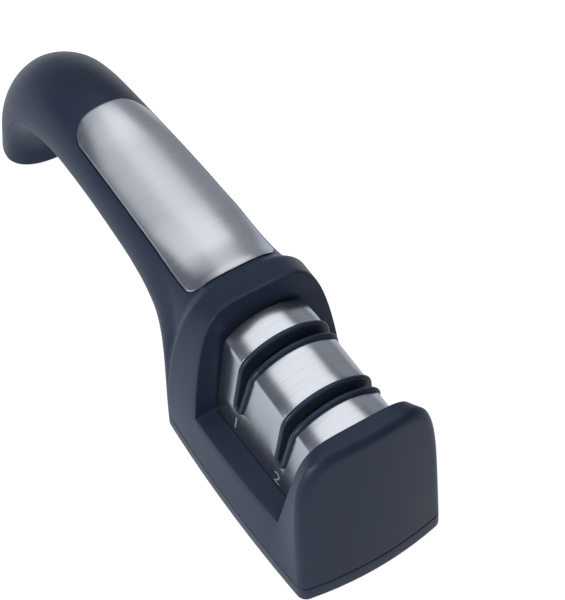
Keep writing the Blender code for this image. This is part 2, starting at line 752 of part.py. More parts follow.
def module_outline(distance, offset, bottom):
    """Upright outline of the module, offset outwards from its steel face."""
    sag = ARCH_TOP_HEIGHT - CREASE_HEIGHT
    radius = (CREASE_HALF_WIDTH ** 2 + sag ** 2) / (2 * sag)
    centre_height = ARCH_TOP_HEIGHT - radius
    low = np.array((module_half_width(distance, bottom, offset), bottom))
    high = np.array((module_half_width(distance, CREASE_HEIGHT, offset), CREASE_HEIGHT))
    heading = (high - low) / np.linalg.norm(high - low)
    start = low - np.array((0.0, centre_height))
    along = -start @ heading
    reach = (radius + offset) ** 2 - (start @ start - along ** 2)
    crease = low + heading * (along + math.sqrt(reach))
    edge_angle = math.atan2(crease[0], crease[1] - centre_height)
    outline = [(-low[0], bottom)]
    for step in range(MODULE_ARC_STEPS + 1):
        angle = blend(-edge_angle, edge_angle, step / MODULE_ARC_STEPS)
        outline.append((
            (radius + offset) * math.sin(angle),
            centre_height + (radius + offset) * math.cos(angle),
        ))
    outline.append((low[0], bottom))
    return outline


def module_solid(front, rear, offset, bottom):
    """Arched solid that follows the module between two places."""
    rings = []
    for step in range(MODULE_RINGS + 1):
        distance = blend(front, rear, step / MODULE_RINGS)
        outline = module_outline(distance, offset, bottom)
        rings.append([place(distance, across, height) for across, height in outline])
    return skin(rings)


def slot_prism(distance, width, tip_height):
    """Slot across the whole module, with a round lower end."""
    radius = width / 2
    top = ARCH_TOP_HEIGHT + CUT_OVERRUN
    reach = MODULE_REAR_HALF_WIDTH + CUT_OVERRUN
    outline = [place(distance - radius, -reach, top)]
    for step in range(SLOT_TIP_STEPS + 1):
        angle = math.pi * step / SLOT_TIP_STEPS
        outline.append(place(
            distance - radius * math.cos(angle), -reach,
            tip_height + radius * (1 - math.sin(angle)),
        ))
    outline.append(place(distance + radius, -reach, top))
    return prism(outline, Vector((0, 2 * reach, 0)))


def notch_prism():
    """Upright notch along the module, round at the top, for the axle."""
    radius = AXLE_RADIUS + PART_GAP
    rear = MODULE_REAR + CUT_OVERRUN
    bottom = FLANGE_UNDERSIDE - CUT_OVERRUN
    outline = [place(rear, radius, bottom)]
    for step in range(SLOT_TIP_STEPS + 1):
        angle = math.pi * step / SLOT_TIP_STEPS
        outline.append(place(rear, radius * math.cos(angle), AXLE_HEIGHT + radius * math.sin(angle)))
    outline.append(place(rear, -radius, bottom))
    return prism(outline, FORWARD * (MODULE_LENGTH + 2 * CUT_OVERRUN))


def well_outline(height):
    """Plan of the opening in the ledges round the module."""
    front = MODULE_FRONT - PART_GAP
    rear = MODULE_REAR + PART_GAP
    points = []
    for distance, sign in ((front, 1), (rear, 1), (rear, -1), (front, -1)):
        across = sign * (module_half_width(distance, height) + PART_GAP)
        points.append(place(distance, across, height))
    return points


def front_wall_hollow():
    """Wedge-shaped hollow that keeps the front wall at wall thickness."""
    rings = []
    top = FRONT_WALL_HEIGHT * HOLLOW_TOP_SHARE
    for height in (SEAM_HEIGHT - CUT_OVERRUN, LEDGE_HEIGHT, top):
        narrowing = WALL_DRAFT * max(height - LEDGE_HEIGHT, 0.0)
        half_width = FRONT_HALF_WIDTH * HOLLOW_WIDTH_SHARE - narrowing
        front = front_face_distance(half_width, height) + SHELL_WALL
        rear = front_wall_back(0.0, height) - SHELL_WALL
        rings.append([
            place(distance, across, height)
            for distance, across in (
                (front, half_width), (rear, half_width), (rear, -half_width), (front, -half_width))
        ])
    return skin(rings)


def cover_screw_feet(rows, height_of):
    """Feet of rods on the middle of the handle, at heights that follow a rule."""
    ribs = [rib_at(rows, share) for share in COVER_SCREW_SHARES]
    return [place(rib[0], 0.0, height_of(rib)) for rib in ribs]


def make_body_shell(rows):
    """Upper housing: front wall, ledges, hood and the crown of the handle."""
    outer = skin(block_rings() + handle_rings(rows))
    shell = make_object("body_shell", outer, "soft_touch_plastic")

    core_rings = handle_rings(crown_core_rows(rows), offset=-SHELL_WALL, skirt=CUT_OVERRUN)
    core = make_cutter("crown_core", skin(core_rings))
    feet = cover_screw_feet(rows, lambda rib: rib[1] - 2 * CUT_OVERRUN)
    bosses = make_cutter("crown_bosses", straight_rods(feet, HOOD_HEIGHT, COVER_BOSS_RADIUS))
    combine(core, bosses, "DIFFERENCE")
    combine(shell, core, "DIFFERENCE")

    cavity = make_cutter("block_cavity", skin([
        plan_outline(SEAM_HEIGHT - CUT_OVERRUN, BLOCK_WALL),
        plan_outline(SEAM_HEIGHT, BLOCK_WALL),
        plan_outline(LEDGE_UNDERSIDE, BLOCK_WALL),
    ]))
    feet = feet_at(base_screw_places(), SEAM_HEIGHT)
    bosses = make_cutter("base_bosses", straight_rods(feet, LEDGE_HEIGHT - SEAM_HEIGHT, BOSS_RADIUS))
    combine(cavity, bosses, "DIFFERENCE")
    combine(shell, cavity, "DIFFERENCE")
    combine(shell, make_cutter("front_hollow", front_wall_hollow()), "DIFFERENCE")
    well_heights = (LEDGE_UNDERSIDE - PART_GAP, LEDGE_HEIGHT + CUT_OVERRUN)
    well = make_cutter("module_well", skin([well_outline(height) for height in well_heights]))
    combine(shell, well, "DIFFERENCE")

    recess_floor = PLATE_PROUD - PLATE_THICKNESS - PART_GAP
    recess = plate_layer("inlay_recess", rows, PART_GAP, CUT_OVERRUN, recess_floor)
    recess.hide_render = True
    recess.display_type = "WIRE"
    combine(shell, recess, "DIFFERENCE")

    feet = feet_at(base_screw_places(), SEAM_HEIGHT - CUT_OVERRUN)
    bores = straight_rods(feet, BASE_SCREW_BITE + CUT_OVERRUN, SHANK_BORE)
    combine(shell, make_cutter("base_bores", bores), "DIFFERENCE")
    feet = feet_at(module_screw_places(), LEDGE_UNDERSIDE - CUT_OVERRUN)
    bores = straight_rods(feet, MODULE_SCREW_BITE + PART_GAP + CUT_OVERRUN, SHANK_BORE)
    combine(shell, make_cutter("ledge_bores", bores), "DIFFERENCE")
    feet = cover_screw_feet(rows, lambda rib: rib[1] - CUT_OVERRUN)
    bores = straight_rods(feet, COVER_SCREW_BITE + PART_GAP + CUT_OVERRUN, SHANK_BORE)
    combine(shell, make_cutter("crown_bores", bores), "DIFFERENCE")


def make_handle_underside_cover(rows):
    """Lower half of the handle, from the block's rear to the foot."""
    outer = skin(handle_rings(rows, belly=True, gap=PART_GAP))
    cover = make_object("handle_underside_cover", outer, "soft_touch_plastic")
    core_rows = [shifted_down(rows[0])] + list(rows) + [shifted_down(rows[-1])]
    core_rings = handle_rings(core_rows, belly=True, offset=-SHELL_WALL, skirt=CUT_OVERRUN)
    core = make_cutter("belly_core", skin(core_rings))
    for index, share in enumerate(COVER_SCREW_SHARES, start=1):
        rib = rib_at(rows, share)
        foot = place(rib[0], 0.0, rib[5] - CUT_OVERRUN)
        post = straight_rods([foot], rib[1] - PART_GAP - foot.z, COVER_BOSS_RADIUS)
        combine(core, make_cutter("cover_post_%d" % index, post), "DIFFERENCE")
    combine(cover, core, "DIFFERENCE")
    for index, share in enumerate(COVER_SCREW_SHARES, start=1):
        rib = rib_at(rows, share)
        foot = place(rib[0], 0.0, rib[5] - CUT_OVERRUN)
        well_height = rib[1] - COVER_WELL_FLOOR - foot.z
        bore_height = rib[1] + CUT_OVERRUN - foot.z
        well = rods([foot], (
            (0.0, HEAD_BORE), (well_height, HEAD_BORE), (well_height, SHANK_BORE), (bore_height, SHANK_BORE)))
        combine(cover, make_cutter("cover_well_%d" % index, well), "DIFFERENCE")


def make_handle_plate(rows):
    """Steel inlay that stands slightly proud of the handle's crown."""
    plate_layer("handle_plate", rows, 0.0, PLATE_PROUD, PLATE_PROUD - PLATE_THICKNESS)


def make_base_plate():
    """Tray that closes the block from below, with a recess for its pad."""
    pad_margin = PAD_MARGIN - PART_GAP
    base = make_object("base_plate", skin([
        plan_outline(PAD_CEILING, pad_margin),
        plan_outline(BASE_UNDERSIDE, pad_margin),
        plan_outline(BASE_UNDERSIDE, 0.0),
        plan_outline(BASE_TOP, 0.0),
        plan_outline(BASE_TOP, BASE_WALL),
        plan_outline(BASE_FLOOR_TOP, BASE_WALL),
    ]), "soft_touch_plastic")
    post_foot = (PAD_CEILING + BASE_FLOOR_TOP) / 2
    feet = feet_at(base_screw_places(), post_foot)
    posts = straight_rods(feet, BASE_TOP - post_foot, BOSS_RADIUS)
    combine(base, make_cutter("base_posts", posts), "UNION")
    feet = feet_at(base_screw_places(), PAD_CEILING - CUT_OVERRUN)
    head_height = SCREW_HEAD_HEIGHT + PART_GAP + CUT_OVERRUN
    bore_height = BASE_TOP - PAD_CEILING + 2 * CUT_OVERRUN
    bores = rods(feet, (
        (0.0, HEAD_BORE), (head_height, HEAD_BORE), (head_height, SHANK_BORE), (bore_height, SHANK_BORE)))
    combine(base, make_cutter("base_bores_below", bores), "DIFFERENCE")


def make_base_pad():
    """Rubber pad under the base, which meets the table."""
    pad = skin([plan_outline(0.0, PAD_MARGIN), plan_outline(PAD_THICKNESS, PAD_MARGIN)])
    make_object("base_pad", pad, "rubber")


def foot_outline(rows, height, inset):
    """Plan of the leg at a height close above the table."""
    above, foot = rows[-2], rows[-1]
    side = np.interp(height, (foot[1], above[1]), (foot[0], above[0]))
    crown_tip = np.interp(height, (foot[3], above[3]), (foot[2], above[2]))
    belly_tip = np.interp(height, (foot[5], above[5]), (foot[4], above[4]))
    half_width = np.interp(height, (foot[1], above[1]), (foot[6], above[6])) - inset
    crown = full_arc(half_width, crown_tip - side - inset, (foot[7], ROUND_SHARE))
    belly = full_arc(half_width, side - belly_tip - inset, (foot[8], ROUND_SHARE))
    outline = [place(side + back, across, height) for across, back in crown]
    outline += [place(side - back, -across, height) for across, back in belly[1:-1]]
    return outline


def make_foot_pad(rows):
    """Rubber plug that closes the foot and meets the table."""
    inset = SHELL_WALL + PART_GAP
    heights = (0.0, BASE_UNDERSIDE, FOOT_PAD_THICKNESS)
    make_object("foot_pad", skin([foot_outline(rows, height, inset) for height in heights]), "rubber")


def make_module_cover():
    """Folded steel cover with its two slots."""
    bottom = FLANGE_TOP + PART_GAP
    cover = make_object("module_cover", module_solid(MODULE_FRONT, MODULE_REAR, 0.0, bottom), "brushed_steel")
    inside = make_cutter("cover_inside", module_solid(
        MODULE_FRONT - CUT_OVERRUN, MODULE_REAR + CUT_OVERRUN, -STEEL_THICKNESS, bottom - CUT_OVERRUN))
    combine(cover, inside, "DIFFERENCE")
    for distance in (FINE_SLOT_PLACE, COARSE_SLOT_PLACE):
        slot = make_cutter("steel_slot", slot_prism(distance, SLOT_WIDTH, SLOT_TIP_HEIGHT))
        combine(cover, slot, "DIFFERENCE")


def make_module_body():
    """Black moulding under the steel, with a rim in each slot."""
    core_bottom = FLANGE_TOP - MODULE_FLANGE_THICKNESS / 2
    core = make_object(
        "module_body", module_solid(MODULE_FRONT, MODULE_REAR, -MODULE_SKIN, core_bottom), "black_plastic")
    flange = make_cutter("flange", box(
        FLANGE_FRONT, FLANGE_REAR, flange_half_width(), FLANGE_UNDERSIDE, FLANGE_TOP))
    combine(core, flange, "UNION")
    combine(core, make_cutter("axle_notch", notch_prism()), "DIFFERENCE")
    feet = feet_at(module_screw_places(), FLANGE_UNDERSIDE - CUT_OVERRUN)
    bores = straight_rods(feet, MODULE_FLANGE_THICKNESS + 2 * CUT_OVERRUN, SHANK_BORE)
    combine(core, make_cutter("flange_bores", bores), "DIFFERENCE")
    for distance in (FINE_SLOT_PLACE, COARSE_SLOT_PLACE):
        rim_tip = SLOT_TIP_HEIGHT + PART_GAP
        rim = make_cutter("slot_rim", slot_prism(distance, SLOT_WIDTH - 2 * PART_GAP, rim_tip))
        limit = make_cutter("rim_limit", module_solid(MODULE_FRONT, MODULE_REAR, RIM_PROUD, LEDGE_HEIGHT))
        combine(rim, limit, "INTERSECT")
        combine(core, rim, "UNION")
    wall_offset = -MODULE_SKIN - MODULE_WALL
    bays = (
        (MODULE_FRONT + MODULE_END_WALL, MODULE_MIDDLE - MODULE_MIDDLE_WALL / 2),
        (MODULE_MIDDLE + MODULE_MIDDLE_WALL / 2, MODULE_REAR - MODULE_END_WALL),
    )
    for bay_front, bay_rear in bays:
        bay = make_cutter("wheel_bay", module_solid(
            bay_front, bay_rear, wall_offset, FLANGE_UNDERSIDE - CUT_OVERRUN))
        combine(core, bay, "DIFFERENCE")
    for distance in (FINE_SLOT_PLACE, COARSE_SLOT_PLACE):
        gap_tip = SLOT_TIP_HEIGHT + PART_GAP + RIM_WIDTH
        gap = make_cutter("blade_gap", slot_prism(distance, BLADE_GAP, gap_tip))
        combine(core, gap, "DIFFERENCE")


def make_axle_keeper():
    """Bracket whose three posts hold the axle up in its notches."""
    keeper = make_object("axle_keeper", box(
        FLANGE_FRONT, FLANGE_REAR, flange_half_width(), KEEPER_UNDERSIDE, KEEPER_TOP), "black_plastic")
    strip = make_cutter("keeper_strip", box(
        MODULE_FRONT, MODULE_REAR, KEEPER_STRIP_HALF_WIDTH, KEEPER_UNDERSIDE, KEEPER_TOP))
    combine(keeper, strip, "UNION")
    post_top = AXLE_HEIGHT - AXLE_RADIUS - PART_GAP
    posts = (
        (MODULE_FRONT, MODULE_FRONT + MODULE_END_WALL),
        (MODULE_MIDDLE - MODULE_MIDDLE_WALL / 2, MODULE_MIDDLE + MODULE_MIDDLE_WALL / 2),
        (MODULE_REAR - MODULE_END_WALL, MODULE_REAR),
    )
    for post_front, post_rear in posts:
        post = make_cutter("keeper_post", box(post_front, post_rear, AXLE_RADIUS, KEEPER_MIDDLE, post_top))
        combine(keeper, post, "UNION")
    feet = feet_at(module_screw_places(), KEEPER_UNDERSIDE - CUT_OVERRUN)
    bores = straight_rods(feet, KEEPER_THICKNESS + 2 * CUT_OVERRUN, SHANK_BORE)
    combine(keeper, make_cutter("keeper_bores", bores), "DIFFERENCE")


def make_wheel_axle():
    """Steel pin along the module, a little shorter than it."""
    start = place(MODULE_REAR - PART_GAP, 0.0, AXLE_HEIGHT)
    rod = cylinder(start, FORWARD, MODULE_LENGTH - 2 * PART_GAP, AXLE_RADIUS, ROUND_SEGMENTS)
    make_object("wheel_axle", rod, "axle_steel")


def make_wheel_pair(name, distance, finish_name):
    """Two cone-faced wheels whose faces form a V under their slot."""
    bore = AXLE_RADIUS + RUNNING_GAP
    profile = (
        (PART_GAP / 2, bore), (PART_GAP / 2, WHEEL_HUB_RADIUS),
        (PART_GAP / 2 + WHEEL_CONE_RISE, WHEEL_RADIUS),
        (WHEEL_THICKNESS, WHEEL_RADIUS), (WHEEL_THICKNESS, bore),
    )
    centre = place(distance, 0.0, AXLE_HEIGHT)
    for side, direction in (("rear", -FORWARD), ("front", FORWARD)):
        wheel = turned([(along, radius) for along, radius in profile], Vector(), direction, ROUND_SEGMENTS)
        item = make_object(name + "_wheel_" + side, wheel, finish_name)
        item.location = centre


def make_spacer(name, front, rear):
    """Sleeve on the axle between two places."""
    bore = AXLE_RADIUS + RUNNING_GAP
    length = rear - front - 2 * PART_GAP
    profile = ((0.0, bore), (0.0, SPACER_RADIUS), (length, SPACER_RADIUS), (length, bore))
    start = place(rear - PART_GAP, 0.0, AXLE_HEIGHT)
    make_object(name, turned(profile, start, FORWARD, ROUND_SEGMENTS), "black_plastic")


def make_screw(name, head_bottom, length):
    """Pan-head screw that points up from the underside of its head."""
    screw = rods([head_bottom], (
        (0.0, SCREW_HEAD_RADIUS), (SCREW_HEAD_HEIGHT, SCREW_HEAD_RADIUS),
        (SCREW_HEAD_HEIGHT, SCREW_SHANK_RADIUS), (SCREW_HEAD_HEIGHT + length, SCREW_SHANK_RADIUS),
    ))
    make_object(name, screw, "zinc_screw")


def make_screws(rows):
    """All ten screws, each with its head in its counterbore."""
    for index, (distance, across) in enumerate(base_screw_places(), start=1):
        head_top = PAD_CEILING + SCREW_HEAD_HEIGHT
        length = SEAM_HEIGHT + BASE_SCREW_BITE - PART_GAP - head_top
        make_screw("base_screw_%d" % index, place(distance, across, PAD_CEILING), length)
    for index, (distance, across) in enumerate(module_screw_places(), start=1):
        head_top = KEEPER_UNDERSIDE - PART_GAP
        length = LEDGE_UNDERSIDE + MODULE_SCREW_BITE - head_top
        bottom = place(distance, across, head_top - SCREW_HEAD_HEIGHT)
        make_screw("module_screw_%d" % index, bottom, length)
    for index, share in enumerate(COVER_SCREW_SHARES, start=1):
        rib = rib_at(rows, share)
        head_top = rib[1] - COVER_WELL_FLOOR - PART_GAP
        length = rib[1] + COVER_SCREW_BITE - head_top
        bottom = place(rib[0], 0.0, head_top - SCREW_HEAD_HEIGHT)
        make_screw("cover_screw_%d" % index, bottom, length)


def build():
    """Make every piece of the sharpener."""
    clear_scene()
    rows = smooth_rows(rib_table(), RIB_STEPS)
    make_body_shell(rows)
    make_handle_underside_cover(rows)
    make_handle_plate(rows)
    make_base_plate()
    make_base_pad()
    make_foot_pad(rows)
    make_module_cover()
    make_module_body()
    make_axle_keeper()
    make_wheel_axle()
    make_wheel_pair("coarse", COARSE_SLOT_PLACE, "diamond_steel")
    make_wheel_pair("fine", FINE_SLOT_PLACE, "fine_ceramic")
    front_wall = MODULE_FRONT + MODULE_END_WALL
    rear_wall = MODULE_REAR - MODULE_END_WALL
    make_spacer("spacer_front", front_wall, FINE_SLOT_PLACE - WHEEL_THICKNESS)
    make_spacer(
        "spacer_middle_front", FINE_SLOT_PLACE + WHEEL_THICKNESS, MODULE_MIDDLE - MODULE_MIDDLE_WALL / 2)
    make_spacer(
        "spacer_middle_rear", MODULE_MIDDLE + MODULE_MIDDLE_WALL / 2, COARSE_SLOT_PLACE - WHEEL_THICKNESS)
    make_spacer("spacer_rear", COARSE_SLOT_PLACE + WHEEL_THICKNESS, rear_wall)
    make_screws(rows)


build()
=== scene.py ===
"""Looks of a two-stage knife sharpener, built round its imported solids.

Lengths are metres. Places along the sharpener are written as distances behind
the foremost point of its front, as in the solids' own source.
"""
import math

import bmesh
import bpy
import numpy as np
from bpy.props import FloatProperty, FloatVectorProperty, IntProperty, PointerProperty
from mathutils import Matrix, Vector


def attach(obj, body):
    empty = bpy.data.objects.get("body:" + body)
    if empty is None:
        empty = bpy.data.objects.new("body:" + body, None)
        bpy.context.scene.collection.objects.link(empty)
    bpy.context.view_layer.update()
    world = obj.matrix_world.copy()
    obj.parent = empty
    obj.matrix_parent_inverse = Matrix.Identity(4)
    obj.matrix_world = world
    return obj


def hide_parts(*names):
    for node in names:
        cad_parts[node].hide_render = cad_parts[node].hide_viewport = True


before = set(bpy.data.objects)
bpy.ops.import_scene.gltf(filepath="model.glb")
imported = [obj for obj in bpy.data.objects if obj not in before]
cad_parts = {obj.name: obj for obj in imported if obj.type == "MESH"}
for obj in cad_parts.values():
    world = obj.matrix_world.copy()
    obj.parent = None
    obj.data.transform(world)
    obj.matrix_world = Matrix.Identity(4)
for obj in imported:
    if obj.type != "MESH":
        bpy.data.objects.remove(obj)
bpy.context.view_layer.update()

bl_info = {
    "name": "Knife sharpener",
    "version": (1, 0, 0),
    "blender": (4, 5, 0),
    "location": "3D View > Sidebar > Sharpener",
    "description": "Housing, steel cover, inlay and studio of a two-stage knife sharpener",
    "category": "Add Mesh",
}

MM = 0.001

# Form of the block, as in the solids, whose base is 0.002 mm wider
OVERALL_LENGTH = 228.8 * MM
BASE_HALF_WIDTH = 28.398 * MM
FRONT_HALF_WIDTH = 25.8 * MM
REAR_HALF_WIDTH = 27.9 * MM
FRONT_BOW = 2.8 * MM
FRONT_LEAN = math.tan(math.radians(6.84))
WALL_DRAFT = math.tan(math.radians(5.4))
WIDEST_PLACE = 56.0 * MM
SEAM_HEIGHT = 6.7 * MM
LEDGE_HEIGHT = 24.3 * MM
LEDGE_THICKNESS = 3.0 * MM
FRONT_CREST_HEIGHT = 65.4 * MM
FRONT_WALL_HEIGHT = 64.6 * MM
FRONT_WALL_BACK = 19.0 * MM
FRONT_EDGE_RADIUS = 2.6 * MM
HOOD_FACE = 63.5 * MM
HOOD_HEIGHT = 68.0 * MM
RIDGE_PLACE = 76.3 * MM
RIDGE_HEIGHT = 65.5 * MM
RIDGE_LEAN_BACK = 2.7 * MM
REAR_CORNER_DEPTH = 6.0 * MM
# Shallow valley that sinks and pinches the handle behind the hood's ridge
VALLEY_DEPTH = 0.9 * MM
VALLEY_PINCH = 2.0 * MM
VALLEY_PLACE = 81.6 * MM
VALLEY_END = 112.0 * MM
# Height over which a wall's rounding sets in above the ledges
WALL_BLEND_HEIGHT = 3.0 * MM
# Leans and squareness at the front, at the front wall's back and at the hood
SIDE_LEANS_DEG = (0.6, 8.0, 4.0)
CORNER_SHARES = (4.4, 5.0, 5.5)
SHOULDER_SHARES = (4.8, 11.0, 2.3)
RIDGE_CORNER_SHARE = 4.4
ROUND_SHARE = 2.0
# Middle of the front face's rings, as a share of its height
FACE_MIDDLE_SHARE = 0.45
# Where an outline's lower stretch ends and how much its turns count, as shares of its height
SPLIT_SHARE = 0.3
TURN_SHARE = 0.2

# Handle and foot
HANDLE_REACH = 136.0 * MM
SIDE_LINE_HEIGHT = 45.2 * MM
ARCH_HEIGHT = 35.8 * MM
WAIST_HALF_WIDTH = 17.3 * MM
FOOT_HALF_WIDTH = 20.3 * MM
FOOT_BELLY = 10.0 * MM
FOOT_LINE = RIDGE_PLACE + HANDLE_REACH
FOOT_CORNER_SHARES = (2.4, 3.0)
# Each rib: run and rise of its side line, crown and belly, as shares of the handle's
# reach and of the three heights, its width between waist, block and foot, and the
# squareness of its crown and belly
RIB_SHARES = (
    (0.024, 0.376, 0.014, 0.9590, 0.066, 0.363, 0.975, 0.00, 3.9, 5.0),
    (0.033, 0.597, 0.029, 0.9544, 0.074, 0.559, 0.910, 0.00, 3.3, 4.2),
    (0.053, 0.774, 0.048, 0.9515, 0.090, 0.726, 0.785, 0.00, 2.8, 3.6),
    (0.086, 0.881, 0.075, 0.9470, 0.123, 0.852, 0.605, 0.00, 2.45, 3.1),
    (0.130, 0.936, 0.115, 0.9410, 0.167, 0.922, 0.425, 0.00, 2.25, 2.8),
    (0.189, 0.969, 0.178, 0.9320, 0.226, 0.966, 0.290, 0.00, 2.1, 2.6),
    (0.277, 0.996, 0.270, 0.9160, 0.299, 0.994, 0.190, 0.00, 2.05, 2.6),
    (0.395, 1.000, 0.395, 0.8970, 0.402, 1.000, 0.130, 0.00, 2.0, 2.6),
    (0.512, 0.982, 0.520, 0.8810, 0.505, 0.978, 0.075, 0.00, 2.0, 2.6),
    (0.623, 0.942, 0.637, 0.8660, 0.601, 0.941, 0.030, 0.00, 2.0, 2.6),
    (0.718, 0.898, 0.748, 0.8410, 0.689, 0.888, 0.000, 0.02, 2.0, 2.6),
    (0.807, 0.834, 0.854, 0.7880, 0.770, 0.816, 0.000, 0.10, 1.95, 2.7),
    (0.880, 0.737, 0.954, 0.6910, 0.840, 0.693, 0.000, 0.27, 1.9, 2.8),
    (0.935, 0.586, 1.035, 0.5440, 0.888, 0.517, 0.000, 0.50, 1.9, 2.9),
    (0.974, 0.376, 1.090, 0.3460, 0.916, 0.307, 0.000, 0.75, 2.0, 3.0),
)

# Walls, gaps and screws
SHELL_WALL = 2.2 * MM
BLOCK_WALL = 2.4 * MM
PART_GAP = 0.3 * MM
SEAM_GAP = 0.1 * MM
CUT_OVERRUN = 4.0 * MM
SHANK_BORE = 1.4 * MM
HEAD_BORE = 2.4 * MM
COVER_BOSS_RADIUS = 3.6 * MM
COVER_WELL_FLOOR = 2.5 * MM
BASE_UNDERSIDE = 0.5 * MM
BASE_TOP = SEAM_HEIGHT - PART_GAP
BASE_WALL = 2.2 * MM
BASE_FLOOR_TOP = 4.0 * MM
TRAY_TOP_EDGE = 0.5 * MM
PAD_CEILING = 2.0 * MM
PAD_MARGIN = 2.7 * MM
COVER_SCREW_SHARES = (0.27, 0.62)

# Steel cover of the module and its slots
MODULE_FRONT = 19.4 * MM
MODULE_REAR = 63.1 * MM
# How far the cover's leaning ends stay off the two walls
COVER_END_GAP = 0.4 * MM
MODULE_FRONT_HALF_WIDTH = 17.6 * MM
MODULE_REAR_HALF_WIDTH = 19.3 * MM
MODULE_BOTTOM = 21.3 * MM
CREASE_HALF_WIDTH = 14.46 * MM
CREASE_HEIGHT = 55.3 * MM
ARCH_TOP_HEIGHT = 61.1 * MM
STEEL_THICKNESS = 0.8 * MM
MODULE_MIDDLE = 40.2 * MM
MODULE_WALL = 2.0 * MM
MODULE_END_WALL = 2.8 * MM
MODULE_MIDDLE_WALL = 3.0 * MM
FLANGE_FRONT = 26.0 * MM
FLANGE_REAR = 56.5 * MM
FLANGE_RIM = 4.2 * MM
FLANGE_TOP = 21.0 * MM
FLANGE_UNDERSIDE = 18.8 * MM
AXLE_HEIGHT = 40.5 * MM
AXLE_RADIUS = 2.0 * MM
# Share of a lip's width that the moulding under it leaves free
LIP_ROOM_SHARE = 0.9

# Each slot: name, front and rear edges on top, the same at the round lower end,
# and the height of that end. The front edges slant back below the crease.
SLOTS = (
    ("fine", 24.9 * MM, 32.1 * MM, 27.1 * MM, 32.6 * MM, 34.7 * MM),
    ("coarse", 47.7 * MM, 55.3 * MM, 49.9 * MM, 55.3 * MM, 34.8 * MM),
)

# Steel inlay on the handle
PLATE_NEAR = 81.2 * MM
PLATE_REAR = 165.8 * MM
PLATE_NEAR_HALF_WIDTH = 15.4 * MM
PLATE_FAR_HALF_WIDTH = 13.4 * MM
PLATE_NEAR_CORNER = 4.6 * MM
PLATE_FAR_CORNER = 8.5 * MM
PLATE_NEAR_BOW = 0.4 * MM
INLAY_THICKNESS = 2.2 * MM
INLAY_PROUD = 0.5 * MM
# Share by which the inlay's arch is flatter than the crown, the drop at which it
# keeps its height, and the lengths over which both fade out at its ends
INLAY_FLATNESS = 0.34
INLAY_LEVEL = 2.6 * MM
INLAY_FADE = 22.0 * MM
INLAY_FADE_NEAR = 13.0 * MM
PLAN_BOTTOM_SHARE = 0.12

# Etched figures: each with its place and height, and how the etch lies on the steel
FIGURES = (("1", 53.0 * MM, 28.9 * MM), ("2", 30.3 * MM, 27.6 * MM))
FIGURE_CAP_SHARE = 0.7
FIGURE_THINNING_SHARE = 0.006
ETCH_THICKNESS = 0.01 * MM
ETCH_LIFT = 0.015 * MM

# Mesh fineness, as counts
ARC_LOWER_POINTS = 10
ARC_UPPER_POINTS = 30
BOTTOM_POINTS = 9
RIB_STEPS = 7
EDGE_STEPS = 7
FILLET_STEPS = 4
FACE_STEPS = 9
BAND_STEPS = 5
LEDGE_STEPS = 8
PLAN_STEPS = 28
CORNER_STEPS = 10
ROUND_STEPS = 20
MODULE_STEPS = 5
MODULE_SIDE_STEPS = 6
MODULE_ARC_STEPS = 44
CREASE_STEPS = 6
LIP_STEPS = 60
LIP_ARC_STEPS = 8
ROD_SEGMENTS = 16
CURVE_SAMPLES = 500

UP = Vector((0, 0, 1))
FORWARD = Vector((1, 0, 0))
MERGE_DISTANCE = 0.002 * MM
SHARP_ANGLE = math.radians(32)
BEVEL_ANGLE = math.radians(50)


def to_linear(code):
    """Linear colour with alpha from an sRGB hex code."""
    linear = []
    for index in (1, 3, 5):
        part = int(code[index:index + 2], 16) / 255
        linear.append(part / 12.92 if part <= 0.04045 else ((part + 0.055) / 1.055) ** 2.4)
    return (*linear, 1.0)


def pair(dark, light):
    """Linear colours of a finish's darker and lighter tone."""
    return to_linear(dark), to_linear(light)


def place(distance, across, height):
    """Point that lies a distance behind the foremost point of the front."""
    return Vector((OVERALL_LENGTH / 2 - distance, across, height))


def mix(first, last, share):
    """Value or point at a share of the way from the first to the last."""
    return first + (last - first) * share


def mix_rings(first, last, share):
    """Ring between two rings of equal point counts."""
    return [mix(near, far, share) for near, far in zip(first, last)]


def smooth_share(value):
    """Share from 0 to 1 that starts and ends gently."""
    value = min(max(value, 0.0), 1.0)
    return value * value * (3 - 2 * value)


def quarter_turn(steps):
    """Angles from 0 to a right angle."""
    return [math.pi / 2 * step / steps for step in range(steps + 1)]


def half_turn(start=0.0):
    """Angles of half a turn from a start, both limits included."""
    return [start + math.pi * step / ROUND_STEPS for step in range(ROUND_STEPS + 1)]


def start_loop(mesh, points, filled=True):
    """Closed loop of vertices on the given points."""
    loop = bmesh.ops.create_circle(mesh, cap_ends=filled, segments=len(points))["verts"]
    for vert, point in zip(loop, points):
        vert.co = point
    return loop


def loop_edges(mesh, loop):
    """Edges of a closed loop of vertices."""
    return [mesh.edges.get((loop[index - 1], loop[index])) for index in range(len(loop))]


def grow_loop(mesh, loop, points):
    """Extrude a closed loop and move its new vertices to the next ring."""
    grown = bmesh.ops.extrude_edge_only(mesh, edges=loop_edges(mesh, loop))["geom"]
    fresh = {item for item in grown if isinstance(item, bmesh.types.BMVert)}
    following = []
    for vert, point in zip(loop, points):
        partners = [edge.other_vert(vert) for edge in vert.link_edges]
        partner = next(other for other in partners if other in fresh)
        partner.co = point
        following.append(partner)
    return following


def loft(rings):
    """Skin over rings of equal point counts, closed at both ends."""
    mesh = bmesh.new()
    loop = start_loop(mesh, rings[0])
    for points in rings[1:]:
        loop = grow_loop(mesh, loop, points)
    bmesh.ops.contextual_create(mesh, geom=loop_edges(mesh, loop))
    bmesh.ops.remove_doubles(mesh, verts=mesh.verts[:], dist=MERGE_DISTANCE)
    bmesh.ops.recalc_face_normals(mesh, faces=mesh.faces[:])
    return mesh


def prism(outline, direction):
    """Extrude a flat outline into a closed body."""
    return loft([outline, [point + direction for point in outline]])


